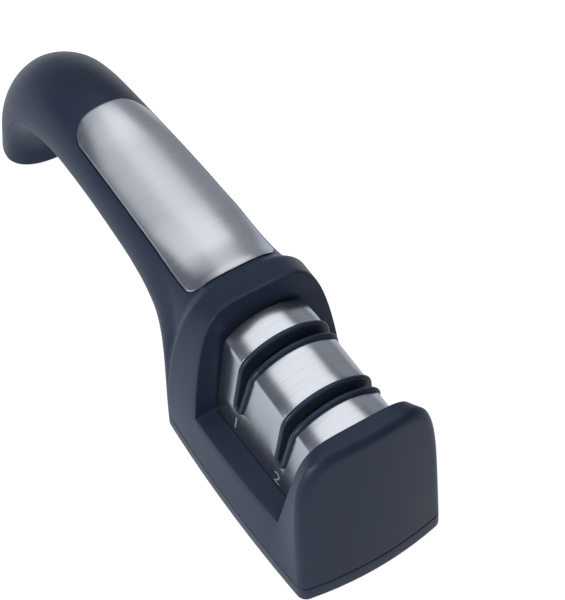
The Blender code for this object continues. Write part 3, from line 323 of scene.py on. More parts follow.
def rod(foot, profile):
    """Upright rod on a foot, with a profile of (height, radius)."""
    rings = []
    for height, radius in profile:
        ring = []
        for step in range(ROD_SEGMENTS):
            turn = math.tau * (step + 0.5) / ROD_SEGMENTS
            ring.append(foot + Vector((radius * math.cos(turn), radius * math.sin(turn), height)))
        rings.append(ring)
    return loft(rings)


def shade(mesh):
    """Smooth shading that stays crisp at real edges."""
    mesh.shade_smooth()
    mesh.set_sharp_from_angle(angle=SHARP_ANGLE)


def make_piece(name, mesh_source):
    """Turn a bmesh into a named object."""
    mesh = bpy.data.meshes.new(name)
    mesh_source.to_mesh(mesh)
    mesh_source.free()
    shade(mesh)
    item = bpy.data.objects.new(name, mesh)
    bpy.context.scene.collection.objects.link(item)
    return item


def apply_modifiers(item):
    """Make the item's modifiers part of its mesh."""
    graph = bpy.context.evaluated_depsgraph_get()
    finished = bpy.data.meshes.new_from_object(item.evaluated_get(graph))
    item.modifiers.clear()
    item.data = finished
    shade(finished)


def carve(item, *steps):
    """Cut or keep with each tool in turn, or join it, then remove the tools."""
    tools = []
    for operation, tool in steps:
        if isinstance(tool, bmesh.types.BMesh):
            tool = make_piece("tool", tool)
        modifier = item.modifiers.new(operation.title(), "BOOLEAN")
        modifier.operation = operation
        modifier.solver = "EXACT"
        modifier.object = tool
        tools.append(tool)
    apply_modifiers(item)
    for tool in tools:
        bpy.data.objects.remove(tool, do_unlink=True)


def finish_with(item, *finishes):
    """Give a carved item its finishes."""
    for finish in finishes:
        item.data.materials.append(finish_named(finish))


def bevel_with_painted_highlight(item, width, segments):
    """Bevel the sharp edges of a steel piece with its second finish: ground steel whose paler tone
    is partly a painted highlight.
    """
    bevel = item.modifiers.new("Painted highlight bevel", "BEVEL")
    bevel.width = width
    bevel.segments = segments
    bevel.limit_method = "ANGLE"
    bevel.angle_limit = BEVEL_ANGLE
    bevel.material = 1
    apply_modifiers(item)


def settle(item, slot_name, *stands_for):
    """Ride the item on the housing and hide the solids it replaces. The slot name is not used."""
    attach(item, "housing")
    if stands_for:
        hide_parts(*stands_for)


def resample(points, count, turn_weight):
    """Spread points along a line, closer together where it turns."""
    points = np.array(points)
    steps = np.diff(points, axis=0)
    lengths = np.hypot(steps[:, 0], steps[:, 1])
    headings = np.unwrap(np.arctan2(steps[:, 1], steps[:, 0]))
    turns = np.abs(np.diff(headings, prepend=headings[0]))
    travel = np.concatenate(([0.0], np.cumsum(lengths + turn_weight * turns)))
    targets = np.linspace(0.0, travel[-1], count)
    across = np.interp(targets, travel, points[:, 0])
    up = np.interp(targets, travel, points[:, 1])
    return list(zip(across, up))


def full_arc(half_width, height, corners, lean=0.0, split=None):
    """Upright outline from one side over the top to the other side.

    The point after the lower stretch lies at the split height, so that
    neighbouring outlines keep that point in line.
    """
    squareness, shoulder = corners
    angles = np.linspace(0.0, math.pi / 2, CURVE_SAMPLES)
    rise = height * np.sin(angles) ** (2 / shoulder)
    fall = np.clip(1 - (rise / height) ** shoulder, 0.0, 1.0)
    across = (half_width - lean * rise) * fall ** (1 / squareness)
    curve = np.column_stack((across, rise))
    split = height * SPLIT_SHARE if split is None else split
    at_split = np.array([[np.interp(split, rise, across), split]])
    lower = np.vstack((curve[rise < split], at_split))
    upper = np.vstack((at_split, curve[rise > split]))
    turn_weight = height * TURN_SHARE
    side = resample(lower, ARC_LOWER_POINTS + 1, turn_weight)[:-1]
    side += resample(upper, ARC_UPPER_POINTS + 1, turn_weight)
    return [(-across, up) for across, up in side] + side[-2::-1]


def bottom_line(half_width):
    """Places across between the two ends of an outline, along its bottom."""
    spaces = BOTTOM_POINTS + 1
    return [half_width * (1 - 2 * step / spaces) for step in range(1, spaces)]


def base_half_width(distance):
    """Half the width of the base at a place along the block."""
    away = (WIDEST_PLACE - distance) / (WIDEST_PLACE - FRONT_BOW)
    return BASE_HALF_WIDTH - (BASE_HALF_WIDTH - FRONT_HALF_WIDTH) * away ** 2


def along_block(distance, values):
    """Value at a place, from those at the front, the front wall's back and the hood."""
    return float(np.interp(distance, (FRONT_BOW, FRONT_WALL_BACK, HOOD_FACE), values))


def side_lean(distance):
    """How much the block's sides lean inwards at a place, as a slope."""
    return math.tan(math.radians(along_block(distance, SIDE_LEANS_DEG)))


def block_outline(distance, inset=0.0):
    """Upright outline of the block at a place, above the seam."""
    corners = (along_block(distance, CORNER_SHARES), along_block(distance, SHOULDER_SHARES))
    top_height = along_block(distance, (FRONT_CREST_HEIGHT, FRONT_WALL_HEIGHT, HOOD_HEIGHT))
    half_width = base_half_width(distance) - inset
    outline = full_arc(
        half_width, top_height - SEAM_HEIGHT - inset, corners, side_lean(distance),
        LEDGE_HEIGHT - SEAM_HEIGHT)
    return outline + [(across, 0.0) for across in bottom_line(half_width)]


def front_face_distance(across, height):
    """How far the bowed, leaning front face lies behind its foremost point."""
    return FRONT_BOW * (across / FRONT_HALF_WIDTH) ** 2 + FRONT_LEAN * height


def front_wall_back(height):
    """Place of the front wall's rear face, which leans above the ledges."""
    return FRONT_WALL_BACK - WALL_DRAFT * max(height - LEDGE_HEIGHT, 0.0)


def hood_front(height):
    """Place of the hood's front face, which leans above the ledges."""
    return HOOD_FACE + WALL_DRAFT * max(height - LEDGE_HEIGHT, 0.0)


def front_rings():
    """Rings of the front face, from its middle out round its rounded edge."""
    edge_place = FRONT_BOW + FRONT_EDGE_RADIUS
    face = block_outline(edge_place, FRONT_EDGE_RADIUS)
    middle = (FRONT_CREST_HEIGHT - SEAM_HEIGHT) * FACE_MIDDLE_SHARE
    rings = []
    for step in range(1, FACE_STEPS + 1):
        share = (step - 0.5) / FACE_STEPS
        ring = []
        for across, up in face:
            y = across * share
            z = SEAM_HEIGHT + middle + (up - middle) * share
            ring.append(place(front_face_distance(y, z), y, z))
        rings.append(ring)
    for angle in quarter_turn(EDGE_STEPS):
        inset = FRONT_EDGE_RADIUS * (1 - math.sin(angle))
        setback = FRONT_EDGE_RADIUS * (1 - math.cos(angle))
        ring = []
        for across, up in block_outline(edge_place, inset):
            height = SEAM_HEIGHT + up
            ring.append(place(front_face_distance(across, height) + setback, across, height))
        rings.append(ring)
    return rings


def drawn_in(distance, inset, weight=1.0):
    """Places across and heights of the block's outline, drawn in above the ledges."""
    outer, inner = block_outline(distance), block_outline(distance, inset)
    for (wide, high), (narrow, low) in zip(outer, inner):
        share = smooth_share((SEAM_HEIGHT + high - LEDGE_HEIGHT) / WALL_BLEND_HEIGHT) * weight
        yield mix(wide, narrow, share), SEAM_HEIGHT + mix(high, low, share)


def rim_ring(wall_place, outline_place, radius, angle, toward):
    """Ring of the rounded edge between a wall's top band and its upright face."""
    inset = radius * (1 - math.cos(angle))
    setback = radius * (1 - math.sin(angle)) * toward
    return [
        place(wall_place(height) + setback, across, height)
        for across, height in drawn_in(outline_place, inset)]


def wall_foot_ring(wall_place, outline_place, rim_radius, foot_radius, angle, toward):
    """Ring of the hollow corner between an upright face and the ledge."""
    limit = LEDGE_HEIGHT + foot_radius * (1 - math.sin(angle))
    reach = foot_radius * (1 - math.cos(angle)) * toward
    ring = []
    for across, height in drawn_in(outline_place, rim_radius, math.cos(angle)):
        height = min(height, limit)
        ring.append(place(wall_place(height) + reach, across, height))
    return ring


def ledge_ring(distance, radius):
    """Ring through the ledges, whose outer edges are rounded."""
    ring = []
    outline = block_outline(distance)
    side = outline[ARC_LOWER_POINTS][0]
    for across, up in outline:
        height = min(SEAM_HEIGHT + up, LEDGE_HEIGHT)
        over = abs(across) - (abs(side) - radius)
        rise = height - (LEDGE_HEIGHT - radius)
        if over > 0 and rise > 0:
            corner = Vector((over, rise)).normalized() * radius
            across = math.copysign(abs(side) - radius + corner.x, across)
            height = LEDGE_HEIGHT - radius + corner.y
        ring.append(place(distance, across, height))
    return ring


def block_rings(sizes):
    """Rings of the block from the front face to the hood's ridge."""
    quarter = quarter_turn(FILLET_STEPS)
    rim, foot = sizes.rim_radius, sizes.foot_radius
    front, hood = (front_wall_back, FRONT_WALL_BACK), (hood_front, HOOD_FACE)
    rings = front_rings()
    first = rim_ring(*front, rim, 0.0, -1)
    rings += [mix_rings(rings[-1], first, step / BAND_STEPS) for step in range(1, BAND_STEPS)]
    rings += [rim_ring(*front, rim, angle, -1) for angle in quarter]
    rings += [wall_foot_ring(*front, rim, foot, angle, 1) for angle in quarter]
    for step in range(LEDGE_STEPS + 1):
        distance = mix(FRONT_WALL_BACK + 2 * foot, HOOD_FACE - 2 * foot, step / LEDGE_STEPS)
        rings.append(ledge_ring(distance, sizes.ledge_radius))
    rings += [wall_foot_ring(*hood, rim, foot, angle, -1) for angle in reversed(quarter)]
    rings += [rim_ring(*hood, rim, angle, 1) for angle in reversed(quarter)]
    return rings


def rib_table():
    """All ribs of the handle as rows of sizes, from the ridge to the foot."""
    rows = [(
        RIDGE_PLACE + RIDGE_LEAN_BACK, SEAM_HEIGHT, RIDGE_PLACE, RIDGE_HEIGHT,
        RIDGE_PLACE + RIDGE_LEAN_BACK + REAR_CORNER_DEPTH, SEAM_HEIGHT,
        REAR_HALF_WIDTH, RIDGE_CORNER_SHARE, RIDGE_CORNER_SHARE + 1,
    )]
    for side, side_rise, crown, crown_rise, belly, belly_rise, block, foot, *squares in RIB_SHARES:
        rows.append((
            RIDGE_PLACE + side * HANDLE_REACH, side_rise * SIDE_LINE_HEIGHT,
            RIDGE_PLACE + crown * HANDLE_REACH, crown_rise * HOOD_HEIGHT,
            RIDGE_PLACE + belly * HANDLE_REACH, belly_rise * ARCH_HEIGHT,
            WAIST_HALF_WIDTH + block * (REAR_HALF_WIDTH - WAIST_HALF_WIDTH)
            + foot * (FOOT_HALF_WIDTH - WAIST_HALF_WIDTH),
            *squares,
        ))
    rows.append((
        FOOT_LINE, BASE_UNDERSIDE, OVERALL_LENGTH, BASE_UNDERSIDE,
        FOOT_LINE - FOOT_BELLY, BASE_UNDERSIDE, FOOT_HALF_WIDTH, *FOOT_CORNER_SHARES,
    ))
    return np.array(rows)


def handle_rows():
    """The ribs' rows with more between them, along a smooth curve through them."""
    rows = rib_table()
    runs = [np.hypot(*np.diff(rows[:, first:first + 2], axis=0).T) for first in (0, 2)]
    knots = np.concatenate(([0.0], np.cumsum(sum(runs))))
    slopes = np.gradient(rows, knots, axis=0)
    result = []
    for index, span in enumerate(np.diff(knots)):
        for step in range(RIB_STEPS):
            t = step / RIB_STEPS
            result.append(
                (2 * t ** 3 - 3 * t ** 2 + 1) * rows[index]
                + (t ** 3 - 2 * t ** 2 + t) * span * slopes[index]
                + (3 * t ** 2 - 2 * t ** 3) * rows[index + 1]
                + (t ** 3 - t ** 2) * span * slopes[index + 1]
            )
    result.append(rows[-1])
    return result


def rib_ring(row, belly=False, offset=0.0, gap=0.0, skirt=0.0):
    """Closed ring of one rib: its crown or belly arc, and its side line."""
    side = Vector(row[:2])
    tip = Vector(row[4:6] if belly else row[2:4])
    direction = (tip - side).normalized()
    start = side + direction * gap
    half_width = row[6] + offset
    height = (tip - side).length - gap + offset
    outline = full_arc(half_width, height, (row[8] if belly else row[7], ROUND_SHARE))
    bottom = bottom_line(half_width)
    if skirt:
        bottom = [half_width] + bottom + [-half_width]
    ring = []
    for across, up in outline + [(across, -skirt) for across in bottom]:
        point = start + direction * up
        ring.append(place(point.x, across, point.y))
    return ring


def crown_ring(row, offset=0.0):
    """Ring of the crown, sunk and pinched a little behind the hood's ridge."""
    full = rib_ring(row, offset=offset)
    tip = row[2]
    share = smooth_share((tip - RIDGE_PLACE) / (VALLEY_PLACE - RIDGE_PLACE))
    share *= 1 - smooth_share((tip - VALLEY_PLACE) / (VALLEY_END - VALLEY_PLACE))
    if not share:
        return full
    low = min(point.z for point in full)
    high = max(point.z for point in full)
    sunk = rib_ring(row, offset=offset - VALLEY_DEPTH * share)
    for point in sunk:
        point.y *= 1 - VALLEY_PINCH * share / row[6]
    return [
        mix(outer, inner, smooth_share(2 * (outer.z - low) / (high - low)))
        for outer, inner in zip(full, sunk)]


def plan_outline(height, inset):
    """Plan of the block at a height: bowed front, swelling sides, round rear."""
    raised = max(height - SEAM_HEIGHT, 0.0)
    edge_place = FRONT_BOW + FRONT_EDGE_RADIUS
    rear_place = RIDGE_PLACE + RIDGE_LEAN_BACK

    def half_width(distance):
        return base_half_width(distance) - inset - side_lean(distance) * raised

    right = []
    for angle in quarter_turn(EDGE_STEPS)[:-1]:
        across = half_width(edge_place) - FRONT_EDGE_RADIUS * (1 - math.sin(angle))
        setback = FRONT_EDGE_RADIUS * (1 - math.cos(angle)) + inset
        right.append((front_face_distance(across, height) + setback, across))
    side_start = front_face_distance(half_width(edge_place), height) + FRONT_EDGE_RADIUS + inset
    for step in range(PLAN_STEPS):
        distance = mix(side_start, rear_place, step / PLAN_STEPS)
        right.append((distance, half_width(distance)))
    rear_arc = full_arc(
        REAR_HALF_WIDTH - inset, REAR_CORNER_DEPTH - inset, (RIDGE_CORNER_SHARE + 1, ROUND_SHARE))
    outline = right + [(rear_place + back, -across) for across, back in rear_arc]
    outline += [(distance, -across) for distance, across in reversed(right)]
    for across in reversed(bottom_line(right[0][1])):
        outline.append((front_face_distance(across, height) + inset, across))
    return [place(distance, across, height) for distance, across in outline]


def plate_outline(grow):
    """Plan of the steel inlay with its rounded corners, as flat points."""
    near = PLATE_NEAR - grow
    far = PLATE_REAR + grow
    near_side, far_side = PLATE_NEAR_HALF_WIDTH + grow, PLATE_FAR_HALF_WIDTH + grow
    near_radius, far_radius = PLATE_NEAR_CORNER + grow, PLATE_FAR_CORNER + grow
    corners = [
        (Vector((near, near_side)), near_radius), (Vector((far, far_side)), far_radius),
        (Vector((far, -far_side)), far_radius), (Vector((near, -near_side)), near_radius),
    ]
    points = []
    for index, (here, radius) in enumerate(corners):
        inward = (corners[index - 1][0] - here).normalized()
        onward = (corners[(index + 1) % 4][0] - here).normalized()
        half_angle = inward.angle(onward) / 2
        centre = here + (inward + onward).normalized() * (radius / math.sin(half_angle))
        start = here + inward * (radius / math.tan(half_angle)) - centre
        end = here + onward * (radius / math.tan(half_angle)) - centre
        sweep = start.angle_signed(end)
        for step in range(CORNER_STEPS + 1):
            spoke = start.copy()
            spoke.rotate(Matrix.Rotation(-sweep * step / CORNER_STEPS, 2))
            points.append(centre + spoke)
    flat_half_width = abs(points[-1].y)
    for across in reversed(bottom_line(flat_half_width)):
        bow = PLATE_NEAR_BOW * (1 - (across / flat_half_width) ** 2)
        points.append(Vector((near - bow, across)))
    return points


def crown_drop(rows, distance, across):
    """How far the crown falls from its middle to a place across."""
    half_width, tip, side, square = (
        np.interp(distance, rows[:, 2], rows[:, item]) for item in (6, 3, 1, 7))
    reach = min(abs(across) / half_width, 1.0)
    return (tip - side) * (1 - math.sqrt(1 - reach ** square))


def flatten_crown(mesh, rows):
    """Make the inlay's arch shallower than the crown's: sides up, middle down."""
    rows = np.array(rows)
    for vert in mesh.vertices:
        distance = OVERALL_LENGTH / 2 - vert.co.x
        fade = smooth_share(min(
            (distance - PLATE_NEAR) / INLAY_FADE_NEAR, (PLATE_REAR - distance) / INLAY_FADE))
        drop = crown_drop(rows, distance, vert.co.y)
        vert.co.z += INLAY_FLATNESS * fade * (drop - INLAY_LEVEL)


def crown_layer(rows, grow, top_offset, bottom_offset):
    """The part of a layer over the handle's crown that lies in the inlay's plan."""
    over, under = (
        loft([crown_ring(row, offset) for row in rows]) for offset in (top_offset, bottom_offset))
    layer = make_piece("layer", over)
    bottom = mix(SIDE_LINE_HEIGHT, HOOD_HEIGHT, PLAN_BOTTOM_SHARE)
    outline = [place(*point, bottom) for point in plate_outline(grow)]
    plan = prism(outline, UP * (HOOD_HEIGHT + CUT_OVERRUN - bottom))
    carve(layer, ("INTERSECT", plan), ("DIFFERENCE", under))
    flatten_crown(layer.data, rows)
    return layer


def module_half_width(distance, height, offset=0.0):
    """Half width of the module's leaning side at a place and height."""
    share = (distance - MODULE_FRONT) / (MODULE_REAR - MODULE_FRONT)
    foot = mix(MODULE_FRONT_HALF_WIDTH, MODULE_REAR_HALF_WIDTH, share)
    run = foot - CREASE_HALF_WIDTH
    rise = CREASE_HEIGHT - LEDGE_HEIGHT
    return foot - run * (height - LEDGE_HEIGHT) / rise + offset * math.hypot(run, rise) / rise


def module_outline(distance, offset, bottom, crease_radius):
    """Upright outline of the module, offset outwards from its steel face."""
    sag = ARCH_TOP_HEIGHT - CREASE_HEIGHT
    radius = (CREASE_HALF_WIDTH ** 2 + sag ** 2) / (2 * sag)
    centre_height = ARCH_TOP_HEIGHT - radius
    low = np.array((module_half_width(distance, bottom, offset), bottom))
    high = np.array((module_half_width(distance, CREASE_HEIGHT, offset), CREASE_HEIGHT))
    heading = (high - low) / np.linalg.norm(high - low)
    start = low - np.array((0.0, centre_height))
    along = -start @ heading
    reach = (radius + offset) ** 2 - (start @ start - along ** 2)
    crease = low + heading * (along + math.sqrt(reach))
    edge_angle = math.atan2(crease[0], crease[1] - centre_height)
    turn = math.pi / 2 - edge_angle + math.atan2(-heading[0], heading[1])
    length = crease_radius * math.tan(abs(math.pi / 2 - turn) / 2) if crease_radius else 0.0
    arc_edge = edge_angle - length / radius

    def on_arc(share):
        angle = mix(arc_edge, -arc_edge, share)
        spoke = radius + offset
        return np.array((spoke * math.sin(angle), centre_height + spoke * math.cos(angle)))

    entry = crease - heading * length
    side = [mix(low, entry, step / MODULE_SIDE_STEPS) for step in range(MODULE_SIDE_STEPS)]
    if length:
        side.append(entry)
        for step in range(1, CREASE_STEPS):
            t = step / CREASE_STEPS
            side.append((1 - t) ** 2 * entry + 2 * t * (1 - t) * crease + t ** 2 * on_arc(0))
    arc = [on_arc(step / MODULE_ARC_STEPS) for step in range(MODULE_ARC_STEPS + 1)]
    return side + arc + [np.array((-across, height)) for across, height in reversed(side)]


def arched_solid(front, rear, offset, bottom, crease_radius):
    """Arched solid that follows the module between two ends.

    Each end is a place, or a function that gives a place for a height.
    """
    rings = []
    for step in range(MODULE_STEPS + 1):
        ring = []
        share = step / MODULE_STEPS
        nominal = mix(MODULE_FRONT, MODULE_REAR, share)
        for across, height in module_outline(nominal, offset, bottom, crease_radius):
            ends = [end(height) if callable(end) else end for end in (front, rear)]
            ring.append(place(mix(*ends, share), across, height))
        rings.append(ring)
    return loft(rings)


def slot_edges(slot, height):
    """Front and rear edge of a slot at a height."""
    _name, front, rear, low_front, low_rear, bottom = slot
    centre = bottom + (low_rear - low_front) / 2
    share = min(max((CREASE_HEIGHT - height) / (CREASE_HEIGHT - centre), 0.0), 1.0)
    return mix(front, low_front, share), mix(rear, low_rear, share)


def slot_prism(slot, inset):
    """Slot across the whole module, with a round lower end."""
    _name, front, rear, low_front, low_rear, bottom = slot
    radius = (low_rear - low_front) / 2
    reach = MODULE_REAR_HALF_WIDTH + CUT_OVERRUN
    top = ARCH_TOP_HEIGHT + CUT_OVERRUN
    outline = [place(front + inset, -reach, top), place(front + inset, -reach, CREASE_HEIGHT)]
    for angle in half_turn():
        outline.append(place(
            low_front + radius - (radius - inset) * math.cos(angle), -reach,
            bottom + radius - (radius - inset) * math.sin(angle)))
    outline += [place(rear - inset, -reach, CREASE_HEIGHT), place(rear - inset, -reach, top)]
    return prism(outline, Vector((0, 2 * reach, 0)))


def box(front, rear, half_width, bottom, top):
    """Box between two places and two heights."""
    corners = ((front, -half_width), (rear, -half_width), (rear, half_width), (front, half_width))
    return prism([place(*corner, bottom) for corner in corners], UP * (top - bottom))


def notch_prism():
    """Upright notch along the module, round at the top, for the axle."""
    radius = AXLE_RADIUS + PART_GAP
    rear = MODULE_REAR + CUT_OVERRUN
    bottom = FLANGE_UNDERSIDE - CUT_OVERRUN
    outline = [place(rear, radius, bottom)]
    for angle in half_turn():
        across, rise = radius * math.cos(angle), radius * math.sin(angle)
        outline.append(place(rear, across, AXLE_HEIGHT + rise))
    outline.append(place(rear, -radius, bottom))
    return prism(outline, FORWARD * (MODULE_REAR - MODULE_FRONT + 2 * CUT_OVERRUN))


def surface_line(distance, crease_radius):
    """Module outline as arrays: travel from the top's middle, points and normals."""
    outline = np.array(module_outline(distance, 0.0, MODULE_BOTTOM, crease_radius))[::-1]
    steps = np.diff(outline, axis=0)
    travel = np.concatenate(([0.0], np.cumsum(np.hypot(steps[:, 0], steps[:, 1]))))
    travel -= np.interp(0.0, outline[:, 0], travel)
    slopes = np.gradient(outline, travel, axis=0)
    normals = np.column_stack((-slopes[:, 1], slopes[:, 0]))
    return travel, outline, normals


def on_surface(distance, travel_to, rise, crease_radius):
    """Point at a place, a travel round the module's arch and a height over it."""
    travel, outline, normals = surface_line(distance, crease_radius)
    point, normal = (
        Vector([np.interp(travel_to, travel, line[:, axis]) for axis in (0, 1)])
        for line in (outline, normals))
    return place(distance, *(point + normal.normalized() * rise))


def lip_path(slot, sizes, bend):
    """Places, travels and headings round a slot, along the middle of its lip."""
    _name, front, rear, low_front, low_rear, bottom = slot
    travel, outline, _normals = surface_line((front + rear) / 2, bend)
    low_radius = (low_rear - low_front) / 2
    half = len(travel) // 2
    turn = float(np.interp(-bottom - low_radius, -outline[half:, 1], travel[half:]))
    inset = (PART_GAP + sizes.lip_width) / 2
    low_middle, low_turn = (low_front + low_rear) / 2, low_radius - inset
    path = []
    for side, edge, heading in ((1, 1, 0.0), (-1, 0, math.pi)):
        for step in range(LIP_STEPS):
            travel_to = side * mix(-turn, turn, step / LIP_STEPS)
            edges = slot_edges(slot, np.interp(travel_to, travel, outline[:, 1]))
            path.append((edges[edge] - side * inset, travel_to, heading))
        for angle in half_turn(heading)[:-1]:
            path.append((
                low_middle + low_turn * math.cos(angle),
                side * turn + low_turn * math.sin(angle), angle))
    return path


def slot_lip(slot, sizes):
    """Rounded lip all round a slot, with a deep inner wall."""
    bend = sizes.crease_radius + 2 * sizes.lip_width
    radius = sizes.lip_width / 2
    profile = [(-radius, -sizes.lip_depth)]
    for step in range(LIP_ARC_STEPS + 1):
        angle = math.pi * (1 - step / LIP_ARC_STEPS)
        rise = sizes.lip_rise - radius * (1 - math.sin(angle))
        profile.append((radius * math.cos(angle), rise))
    profile.append((radius, -sizes.lip_depth))
    rings = []
    for distance, travel_to, angle in lip_path(slot, sizes, bend):
        rings.append([
            on_surface(
                distance + outward * math.cos(angle), travel_to + outward * math.sin(angle),
                rise, bend)
            for outward, rise in profile])
    mesh = bmesh.new()
    first = loop = start_loop(mesh, rings[0], False)
    for points in rings[1:] + rings[:1]:
        loop = grow_loop(mesh, loop, points)
    bmesh.ops.remove_doubles(mesh, verts=first + loop, dist=MERGE_DISTANCE)
    bmesh.ops.recalc_face_normals(mesh, faces=mesh.faces[:])
    return mesh


def add_node(tree, kind, settings=None, links=None):
    """Add a node, set its values and link its inputs."""
    node = tree.nodes.new(kind)
    for name, value in (settings or {}).items():
        if isinstance(name, int) or name in node.inputs:
            node.inputs[name].default_value = value
        else:
            setattr(node, name, value)
    for name, source in (links or {}).items():
        tree.links.new(source, node.inputs[name])
    return node


def start_finish(name, **settings):
    """New material with its shader set, and its Object coordinates."""
    material = bpy.data.materials.new(name)
    material.use_nodes = True
    tree = material.node_tree
    shader = tree.nodes["Principled BSDF"]
    for socket, value in settings.items():
        shader.inputs[socket.replace("_", " ")].default_value = value
    coordinates = add_node(tree, "ShaderNodeTexCoord").outputs["Object"]
    return material, tree, shader, coordinates


def shape_surface(tree, shader, tones, stops, cloud, relief, bump, gloss=None):
    """Let one pattern move a finish's colour and gloss, and one its relief."""
    colour = add_node(tree, "ShaderNodeValToRGB", links={"Fac": cloud.outputs["Fac"]})
    for element, stop, tone in zip(colour.color_ramp.elements, stops, tones):
        element.position = stop
        element.color = tone
    strength, depth = bump
    raised = add_node(
        tree, "ShaderNodeBump", {"Strength": strength, "Distance": depth},
        {"Height": relief.outputs["Fac"]})
    tree.links.new(colour.outputs["Color"], shader.inputs["Base Color"])
    tree.links.new(raised.outputs["Normal"], shader.inputs["Normal"])
    if gloss:
        sheen = add_node(
            tree, "ShaderNodeMapRange",
            {"From Min": 0.3, "From Max": 0.7, "To Min": gloss[0], "To Max": gloss[1]},
            {"Value": cloud.outputs["Fac"]})
        tree.links.new(sheen.outputs["Result"], shader.inputs["Roughness"])


def soft_touch_finish(name, tones, roughness):
    """Moulded ABS under a soft-touch coat: matt sheen, very fine grain."""
    material, tree, shader, coordinates = start_finish(
        name, IOR=1.45, Specular_IOR_Level=0.3, Specular_Tint=to_linear("#D8E8FF"),
        Sheen_Weight=0.12, Sheen_Roughness=0.3, Sheen_Tint=to_linear("#DCE6F5"))
    # The coat's thickness varies over some 25 mm, which moves colour and sheen a little
    cloud = add_node(
        tree, "ShaderNodeTexNoise", {"Scale": 1 / (25 * MM), "Detail": 3.0},
        {"Vector": coordinates})
    # Real grain is about 0.05 mm, too fine to show: drawn at 0.45 mm
    grain = add_node(
        tree, "ShaderNodeTexNoise", {"Scale": 1 / (0.45 * MM), "Detail": 2.0},
        {"Vector": coordinates})
    shape_surface(
        tree, shader, tones, (0.35, 0.65), cloud, grain, (0.12, 0.02 * MM),
        (roughness - 0.03, roughness + 0.03))
    return material


def brushed_finish(name, tones, roughness, line_width, line_length):
    """Steel brushed with a belt across the sharpener: fine lines that run from
    side to side and spread each highlight along it."""
    material, tree, shader, coordinates = start_finish(name, Metallic=1.0)
    stretched = add_node(
        tree, "ShaderNodeMapping",
        {"Scale": (1 / line_width, 1 / line_length, 1 / line_length)}, {"Vector": coordinates})
    lines = add_node(
        tree, "ShaderNodeTexNoise", {"Scale": 1.0, "Detail": 4.0, "Roughness": 0.6},
        {"Vector": stretched.outputs["Vector"]})
    shape_surface(
        tree, shader, tones, (0.3, 0.7), lines, lines, (0.1, 0.01 * MM),
        (roughness - 0.02, roughness + 0.03))
    return material


def speckled_finish(name, tones, grain_size, depth, **settings):
    """Surface with a fine even grain, such as rubber, ceramic or grit."""
    material, tree, shader, coordinates = start_finish(name, **settings)
    grain = add_node(
        tree, "ShaderNodeTexNoise",
        {"Scale": 1 / grain_size, "Detail": 3.0, "Roughness": 0.65}, {"Vector": coordinates})
    shape_surface(tree, shader, tones, (0.35, 0.65), grain, grain, (0.4, depth))
    return material


def finish_named(name):
    """One of the sharpener's finishes, made the first time it is asked for."""
    made = bpy.data.materials.get(name)
    if made:
        return made
    colours = bpy.context.scene.sharpener_colours
    coat = (colours.coat_dark, colours.coat_light)
    steel = (colours.steel_dark, colours.steel_light)

    def soft(tones, roughness):
        return soft_touch_finish(name, tones, roughness)

    def brushed(tones, roughness, line_width, line_length):
        return brushed_finish(name, tones, roughness, line_width * MM, line_length * MM)

    def speckled(tones, grain, depth, **settings):
        return speckled_finish(name, tones, grain * MM, depth * MM, **settings)

    makers = {
        # Housing mouldings: near black with a blue cast and a soft sheen
        "soft_touch_abs": lambda: soft(coat, 0.42),
        # Slot lips and inner mouldings: bare polypropylene, smoother than the coat
        "moulded_polypropylene": lambda: soft(pair("#202836", "#262F3E"), 0.34),
        # Cover: brushed sheet, its lines drawn 0.2 mm wide so that they show
        "brushed_stainless": lambda: brushed(steel, 0.24, 0.2, 26),
        # Inlay: the same sheet, brushed a little coarser
        "satin_stainless": lambda: brushed(steel, 0.31, 0.25, 26),
        # Edges of cover and inlay: ground after brushing, which leaves them satin; their paler tone
        # is partly a painted highlight along the edges
        "ground_and_painted_highlight_stainless": lambda: brushed(pair("#E2E5EA", "#F2F4F7"), 0.42, 0.4, 10),
        # Etched figures: steel roughened by the etch, paler than the brushing
        "etched_stainless": lambda: speckled(
            pair("#9298A2", "#A0A6B0"), 0.2, 0.01, Roughness=0.55, Metallic=0.6),
        # Axle: ground and polished pin
        "ground_steel": lambda: brushed(pair("#A9ACB0", "#BDC0C4"), 0.22, 0.3, 6),
        # Coarse wheels: steel with bonded diamond grit
        "diamond_grit": lambda: speckled(
            pair("#3A3B3E", "#8A8C90"), 0.22, 0.06, Roughness=0.6, Metallic=0.8),
        # Fine wheels: sintered ceramic, dense and matt
        "sintered_ceramic": lambda: speckled(
            pair("#4B4C50", "#5B5C60"), 0.3, 0.02, Roughness=0.5),
        # Pads: moulded rubber with a spark-eroded texture
        "moulded_rubber": lambda: speckled(
            pair("#17181A", "#222326"), 0.5, 0.05, Roughness=0.85, Specular_IOR_Level=0.3),
        # Screws: bright zinc plating
        "zinc_plate": lambda: speckled(
            pair("#B4B6B4", "#CDCFCC"), 0.8, 0.01, Roughness=0.32, Metallic=1.0),
    }
    return makers[name]()


def length_setting(name, value, description):
    """A length that a user may change, given in millimetres."""
    return FloatProperty(
        name=name, description=description, default=value * MM, min=0.0, unit="LENGTH")


def tone_setting(name, code, description):
    """A colour that a user may change, given as an sRGB hex code."""
    return FloatVectorProperty(
        name=name, description=description, default=to_linear(code), subtype="COLOR", size=4,
        min=0.0, max=1.0)


